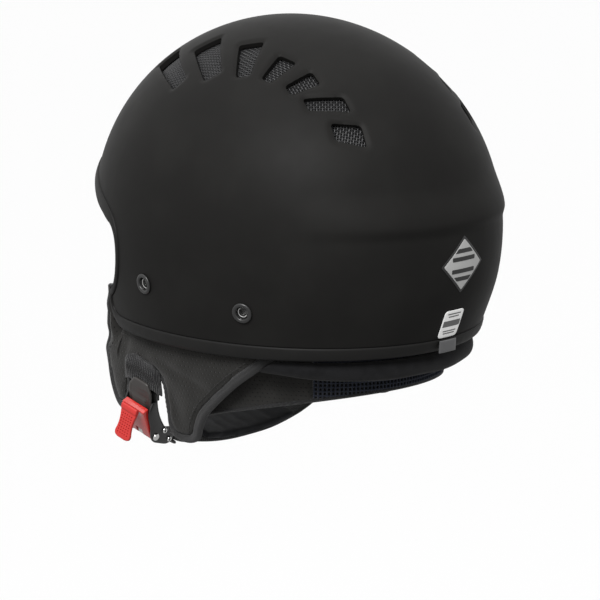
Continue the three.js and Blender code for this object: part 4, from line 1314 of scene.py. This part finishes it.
ANCHOR_X = 90.9
anchor_plate = prism(rounded([(-8, 58), (8, 58), (8, 70), (-8, 70)], 2.5), ANCHOR_X, ANCHOR_X + 1.2)
anchor_rivet = [
    (0.5, -1.6), (3.0, -1.6), (3.7, -1.2), (4.0, -0.6), (4.0, 0.1), (2.4, 0.2), (2.4, 5.2), (0.5, 5.4),
]
for hand, turned in HANDS:
    base = parts_of(bevel(clean(mesh_of("plate", *anchor_plate)), 0.3))
    part = merge(base, at_frame(lathe(anchor_rivet, 36), np.array([ANCHOR_X, 0, 64.0]), TO_X))
    piece(f"strap_rivet_{hand}", lean(turned(part)), steel_look,
          "helmet", "black_steel", [f"strap_anchor_{hand}"])


# ---- ratchet buckle ----
half, wall = BUCKLE["width"] / 2, BUCKLE["wall"]
pin_x, pin_z = arc(BUCKLE["pin_radius"], BUCKLE["pin_angle"])
base = plate(arc_line(46, -2, 50, 40) + arc_line(47.3, 50, -2, 40), -half - wall, half + wall)
ear_edge = [(50, 15), (53.5, 22), (55, 34), (57.4, 40), (57.6, 44), (55.5, 49), (53, 55), (50, 58.5)]
ear_outline = arc_line(46, 57, 16, 20) + list(spline([arc(r, d) for r, d in ear_edge], 0.8))
ears = [plate(ear_outline, s * half, s * (half + wall), 0.3) for s in (-1, 1)]
piece("buckle_body", lean(merge(base, *ears)), steel_look, "helmet", "black_steel", ["buckle_frame"])
heel = [
    (pin_x + 2.6 * math.cos(math.radians(42 + t)), pin_z - 2.6 * math.sin(math.radians(42 + t)))
    for t in np.linspace(180, 0, 14)
]
crown_arcs = [(56.6, 38), (56.2, 34), (55.9, 29), (56.0, 24), (56.7, 19.8)]
crown = spline([heel[-1], *[arc(*spot) for spot in crown_arcs]], 0.5)
lever = clean(mesh_of("release_lever", *prism(
    arc_line(52.3, 19, 37, 20) + heel + list(crown[1:]), -half + 0.5, half - 0.5, "Y")))
bevel(lever, 0.7, 4, 40)
dish = lathe([(0.1, -0.55), (2.5, -0.5), (4.6, -0.3), (6.2, 0.15), (7.0, 0.8), (7.0, 4.0)], 48)
boolean(lever, at_frame(dish, *arc_frame(56.3, 25.5, 1.5)))
boolean(lever, prism(arc_line(51, 37.5, 51, 8) + arc_line(60, 51, 37.5, 8), -2.7, 2.7, "Y"))
piece("release_lever", lean(parts_of(lever)), red_look,
      "buckle_lever", "red_plastic", ["buckle_lever"], sharp=30)
disc = lathe([
    (0.1, 0.0), (2.8, 0.0), (3.0, 0.12), (2.85, 0.35), (2.3, 0.4), (2.2, 0.34), (1.6, 0.34), (0.1, 0.36),
], 40)
piece("lever_dot", lean(at_frame(disc, *arc_frame(56.65, 31, -5))), grey_print_look,
      "buckle_lever", "dark_label", ["lever_sticker"])

reach = half + wall + 0.3
axle = [(0.1, 0.95), (1.5, 0.9), (2.1, 0.7), (2.3, 0.4), (2.3, 0), (1.25, 0)]
axle = [(r, -reach - h) for r, h in axle] + [(r, reach + h) for r, h in reversed(axle)]
piece("lever_axle", lean(at_frame(lathe(axle, 36), np.array([pin_x, 0, pin_z]), TO_Y)), chrome_look,
      "helmet", "bright_metal", ["lever_pin"])
COIL = {"radius": 2.15, "half": 2.0, "turns": 5, "points": 160, "wire": 0.36}
turn = np.linspace(0, 2 * math.pi * COIL["turns"], COIL["points"])
across = np.linspace(-COIL["half"], COIL["half"], COIL["points"])
coil = np.stack([pin_x + COIL["radius"] * np.cos(turn), across, pin_z + COIL["radius"] * np.sin(turn)], -1)
piece("lever_coil", lean(tube(coil, COIL["wire"], 8, guide=(0, 1, 0))), chrome_look,
      "helmet", "bright_metal", ["lever_spring"])


def pull_tab():
    """A waisted rubber tab with a thick folded top and a grid of small pits."""
    right = spline([
        (6.4, 1.2), (6.5, -2.5), (5.9, -6), (5.5, -10), (5.9, -14), (6.5, -17), (5.9, -18.9),
        (3.6, -19.9), (0, -20),
    ], 0.7)
    outline = np.vstack([right, (right * [-1, 1])[-2::-1]])
    body = bevel(clean(mesh_of("tab", *prism(outline, 0, 1.8, "X"))), 0.45, 3)
    pit = lathe([(0.05, 0.95), (0.42, 1.0), (0.5, 2.4)], 10)
    spots = [(0, (column - 2) * 1.95, -4.6 - row * 1.75) for row in range(8) for column in range(5)]
    boolean(body, merge(*[at_frame(pit, np.array(spot), TO_X) for spot in spots]))
    fold = rounded([(-0.2, -2.6), (2.5, -2.6), (2.7, 1.5), (-0.2, 1.5)], 1.2)
    top = plate(fold, -6.6, 6.6, 0.5, 3)
    a = math.radians(-8)
    turn = np.array([[math.cos(a), 0, math.sin(a)], [0, 1, 0], [-math.sin(a), 0, math.cos(a)]])
    x, z = arc(57.4, 20)
    return at_frame(merge(parts_of(body), top), np.array([x, 0, z]), turn)


piece("pull_strip", lean(pull_tab()), red_rubber_look, "pull_tab", "red_rubber", ["pull_tab"], sharp=45)


TONGUE = {"start": 2.2, "stop": 66, "radius": 50, "inner": 49, "outer": 51}


def tongue_bar():
    """The grey ratchet tongue: a curved bar with a narrower flat tip and teeth down its middle."""
    degrees = np.linspace(TONGUE["start"], TONGUE["stop"], 170)
    d, across = np.meshgrid(degrees, np.linspace(-1, 1, 25), indexing="ij")
    height = BUCKLE["z"] - TONGUE["radius"] * np.sin(np.radians(d))
    width = np.interp(height, [-40, 0.6, 3.4, 8.9], [9.8, 9.8, 9.4, 5.6])
    from_tip = (d - degrees[0]) * TONGUE["radius"] * math.pi / 180
    width = width * np.sqrt(np.clip(1 - (1 - np.clip(from_tip / 0.8, 0, 1)) ** 2.4, 0.7, 1))
    w = across * width
    round_off = 0.55 * (1 - smooth(0, 1.1, np.minimum(width - np.abs(w), from_tip + 0.2)))
    tooth = np.where((d > 14) & (d < 44) & (np.abs(w) < 6.2), 0.7 * (((d - 14) / 2) % 1), 0)
    step = 0.35 * smooth(13.2, 13.6, d) * (1 - smooth(46, 47, d)) - 0.35
    outer = TONGUE["outer"] + tooth - round_off + step * (np.abs(w) < 7.4) * (d > 8) * 0.6
    a, faces = np.radians(d), []
    for r in (outer, TONGUE["inner"] + round_off):
        faces.append(np.stack([BUCKLE["x"] + r * np.cos(a), w, BUCKLE["z"] - r * np.sin(a)], -1))
    return slab(*faces)


piece("ratchet_bar", lean(tongue_bar()), grey_look,
      "ratchet_tongue", "grey_plastic", ["ratchet_tongue"], sharp=50)
RIVET = [
    (0.1, 0.0), (1.7, 0.0), (1.68, 0.45), (1.45, 0.85), (1.15, 1.0), (0.9, 0.9), (0.75, 0.55), (0.1, 0.5),
]
# A black disc inside each eyelet's hollow: painted shade in the recess, not a part of the eyelet.
EYELET_SHADE_DISC = [(0.05, 0.45), (0.72, 0.45), (0.7, 0.62), (0.05, 0.6)]
for number, (x, z) in enumerate(((76, -22.9), (70.8, -29.6)), 1):
    for end, side in (("rear", 1), ("front", -1)):
        spot = np.array([x, side * reach, z]), TO_Y * [1, 1, side]
        piece(f"eyelet_{end}_{number}", lean(at_frame(lathe(RIVET, 36), *spot)), chrome_look,
              "helmet", "bright_metal", [f"frame_rivet_{end}_{number}"], sharp=60)
        piece(f"eyelet_painted_shade_{end}_{number}", lean(at_frame(lathe(EYELET_SHADE_DISC, 24), *spot)), dark_print_and_shade_look,
              "helmet", "bright_metal")


# ---- marks on the back ----
def on_back(x, z, lift):
    """A point on the back of the shell, by its distance to the wearer's left and its height."""
    side = section(z)[0] + lip_height(math.pi / 2, z)
    turn = np.arccos(np.clip(x / side, -1, 1))
    return surface(turn, z) + normal_at(turn, z) * np.asarray(lift)[..., None]


def decal(outline, centre_z, low, high, rings=10):
    """A thin solid sheet that follows the shell."""
    outline = np.asarray(outline, float)
    x, z = -outline[:, 0], outline[:, 1]
    layers = [(1.0, low), (1.0, high - 0.06), (0.985, high)]
    layers += [(s, high) for s in np.linspace(0.9, 0.03, rings)]
    return rings_mesh([on_back(x * s, centre_z + z * s, np.full(len(x), h)) for s, h in layers])


def dense(corners, radius, spacing=0.7):
    line = rounded(corners, radius)
    return even(np.vstack([line, line[:1]]), spacing)[:-1]


def diamond(w, h):
    return dense([(w, 0), (0, h), (-w, 0), (0, -h)], 0.8)


def box(w, h, radius, spacing=0.7):
    return dense([(w, -h), (w, h), (-w, h), (-w, -h)], radius, spacing)


EMBLEM_Z = 45
piece("emblem_border", decal(diamond(17.5, 17), EMBLEM_Z, -0.2, 0.35), dark_print_and_shade_look,
      "helmet", "emblem", ["rear_emblem"])
piece("emblem_field", decal(diamond(15.6, 15.1), EMBLEM_Z, 0.1, 0.45), silver_look, "helmet", "emblem")
EMBLEM_BARS = ((-9.5, -7.0, 5.0, 7.4), (-4.8, -2.3, 9.4, 9.4), (2.3, 4.8, 9.4, 9.4), (7.0, 9.5, 7.4, 5.0))
bars = []
for low, high, half_low, half_high in EMBLEM_BARS:
    bar = dense([(-half_low, low), (half_low, low), (half_high, high), (-half_high, high)], 0.3, 0.6)
    centre = (low + high) / 2
    bars.append(decal(bar - [0, centre], EMBLEM_Z + centre, 0.3, 0.55, 3))
piece("emblem_bars", merge(*bars), dark_print_and_shade_look, "helmet", "emblem")
piece("label_card", decal(box(8, 8.5, 2.4), 8.9, -0.2, 0.4), white_look, "helmet", "label", ["size_label"])
LABEL_LINES = ((5.6, 15.3), (4.4, 13.6), (5.6, 4.6), (5.0, 3.1))
strip = decal(box(7.2, 1.9, 0.4), 9.2, 0.3, 0.5, 4)
lines = [decal(box(w, 0.35, 0.2, 0.5), z, 0.3, 0.5, 2) for w, z in LABEL_LINES]
piece("label_marks", merge(strip, *lines), grey_print_look, "helmet", "label")


# ---- floor, light and camera ----
# A wide white floor well below the helmet, out of sight from low views.
bpy.ops.mesh.primitive_circle_add(vertices=96, radius=400, fill_type="TRIFAN", location=(0, 0, -3))
floor = bpy.context.object
floor.name = "studio_floor"
floor_look = Look("floor_paint", (0.96, 0.96, 0.96), 0.9, specular=0.1)
floor_look.bump((floor_look.noise(floor_look.place(), 30, 2), 0.05))
floor.data.materials.append(floor_look.material)
floor.visible_diffuse = floor.visible_glossy = False

bpy.context.scene.view_settings.view_transform = "Standard"
world = bpy.data.worlds.new("studio")
bpy.context.scene.world = world
world.use_nodes = True
sky = world.node_tree
backdrop = sky.nodes["Background"]
backdrop.inputs["Color"].default_value = (1, 1, 1, 1)


def sky_part(direction, low, high, dim, bright):
    """Brightness of the studio's walls by how far they lie towards a direction."""
    dot = sky.nodes.new("ShaderNodeVectorMath")
    dot.operation = "DOT_PRODUCT"
    dot.inputs[1].default_value = direction
    sky.links.new(sky.nodes.new("ShaderNodeTexCoord").outputs["Generated"], dot.inputs[0])
    spread = sky.nodes.new("ShaderNodeMapRange")
    spread.interpolation_type = "SMOOTHSTEP"
    for socket, value in zip(("From Min", "From Max", "To Min", "To Max"), (low, high, dim, bright)):
        spread.inputs[socket].default_value = value
    sky.links.new(dot.outputs["Value"], spread.inputs["Value"])
    return spread.outputs["Result"]


LAMP_AIM = Vector((0, 0, 0.05))


def soft_light(name, place, size, power):
    data = bpy.data.lights.new(name, "AREA")
    data.shape, data.size, data.energy = "DISK", size, power
    lamp = bpy.data.objects.new(name, data)
    bpy.context.scene.collection.objects.link(lamp)
    lamp.location = place
    lamp.rotation_euler = (LAMP_AIM - Vector(place)).to_track_quat("-Z", "Y").to_euler()


AZIMUTH, RISE, AWAY = math.radians(44.0), math.radians(10.62), 1.8
toward = Vector((math.cos(AZIMUTH) * math.cos(RISE), math.sin(AZIMUTH) * math.cos(RISE), math.sin(RISE)))
right = Vector((-math.sin(AZIMUTH), math.cos(AZIMUTH), 0))
upward = toward.cross(right)
middle = Vector((0, 0, 0.06))
product = sky.nodes.new("ShaderNodeMath")
product.operation = "MULTIPLY"
sky.links.new(sky_part(upward, -0.6, 1.0, 0.57, 1.32), product.inputs[0])
sky.links.new(sky_part(-right, -0.9, 0.9, 0.8, 0.9), product.inputs[1])
sky.links.new(product.outputs[0], backdrop.inputs["Strength"])
soft_light("key", middle - right * 0.55 + upward * 1.0 + toward * 1.6, 0.9, 40)
soft_light("top", middle + Vector((0, 0, 1.9)) - right * 0.5, 1.4, 6)

camera_data = bpy.data.cameras.new("photo")
camera_data.lens, camera_data.sensor_width, camera_data.clip_start = 179.3, 36.0, 0.05
camera = bpy.data.objects.new("photo", camera_data)
bpy.context.scene.collection.objects.link(camera)
camera.location = middle + toward * AWAY
aim = middle + right * 0.0029 - upward * 0.0551
camera.rotation_euler = (aim - camera.location).to_track_quat("-Z", "Y").to_euler()
bpy.context.scene.camera = camera
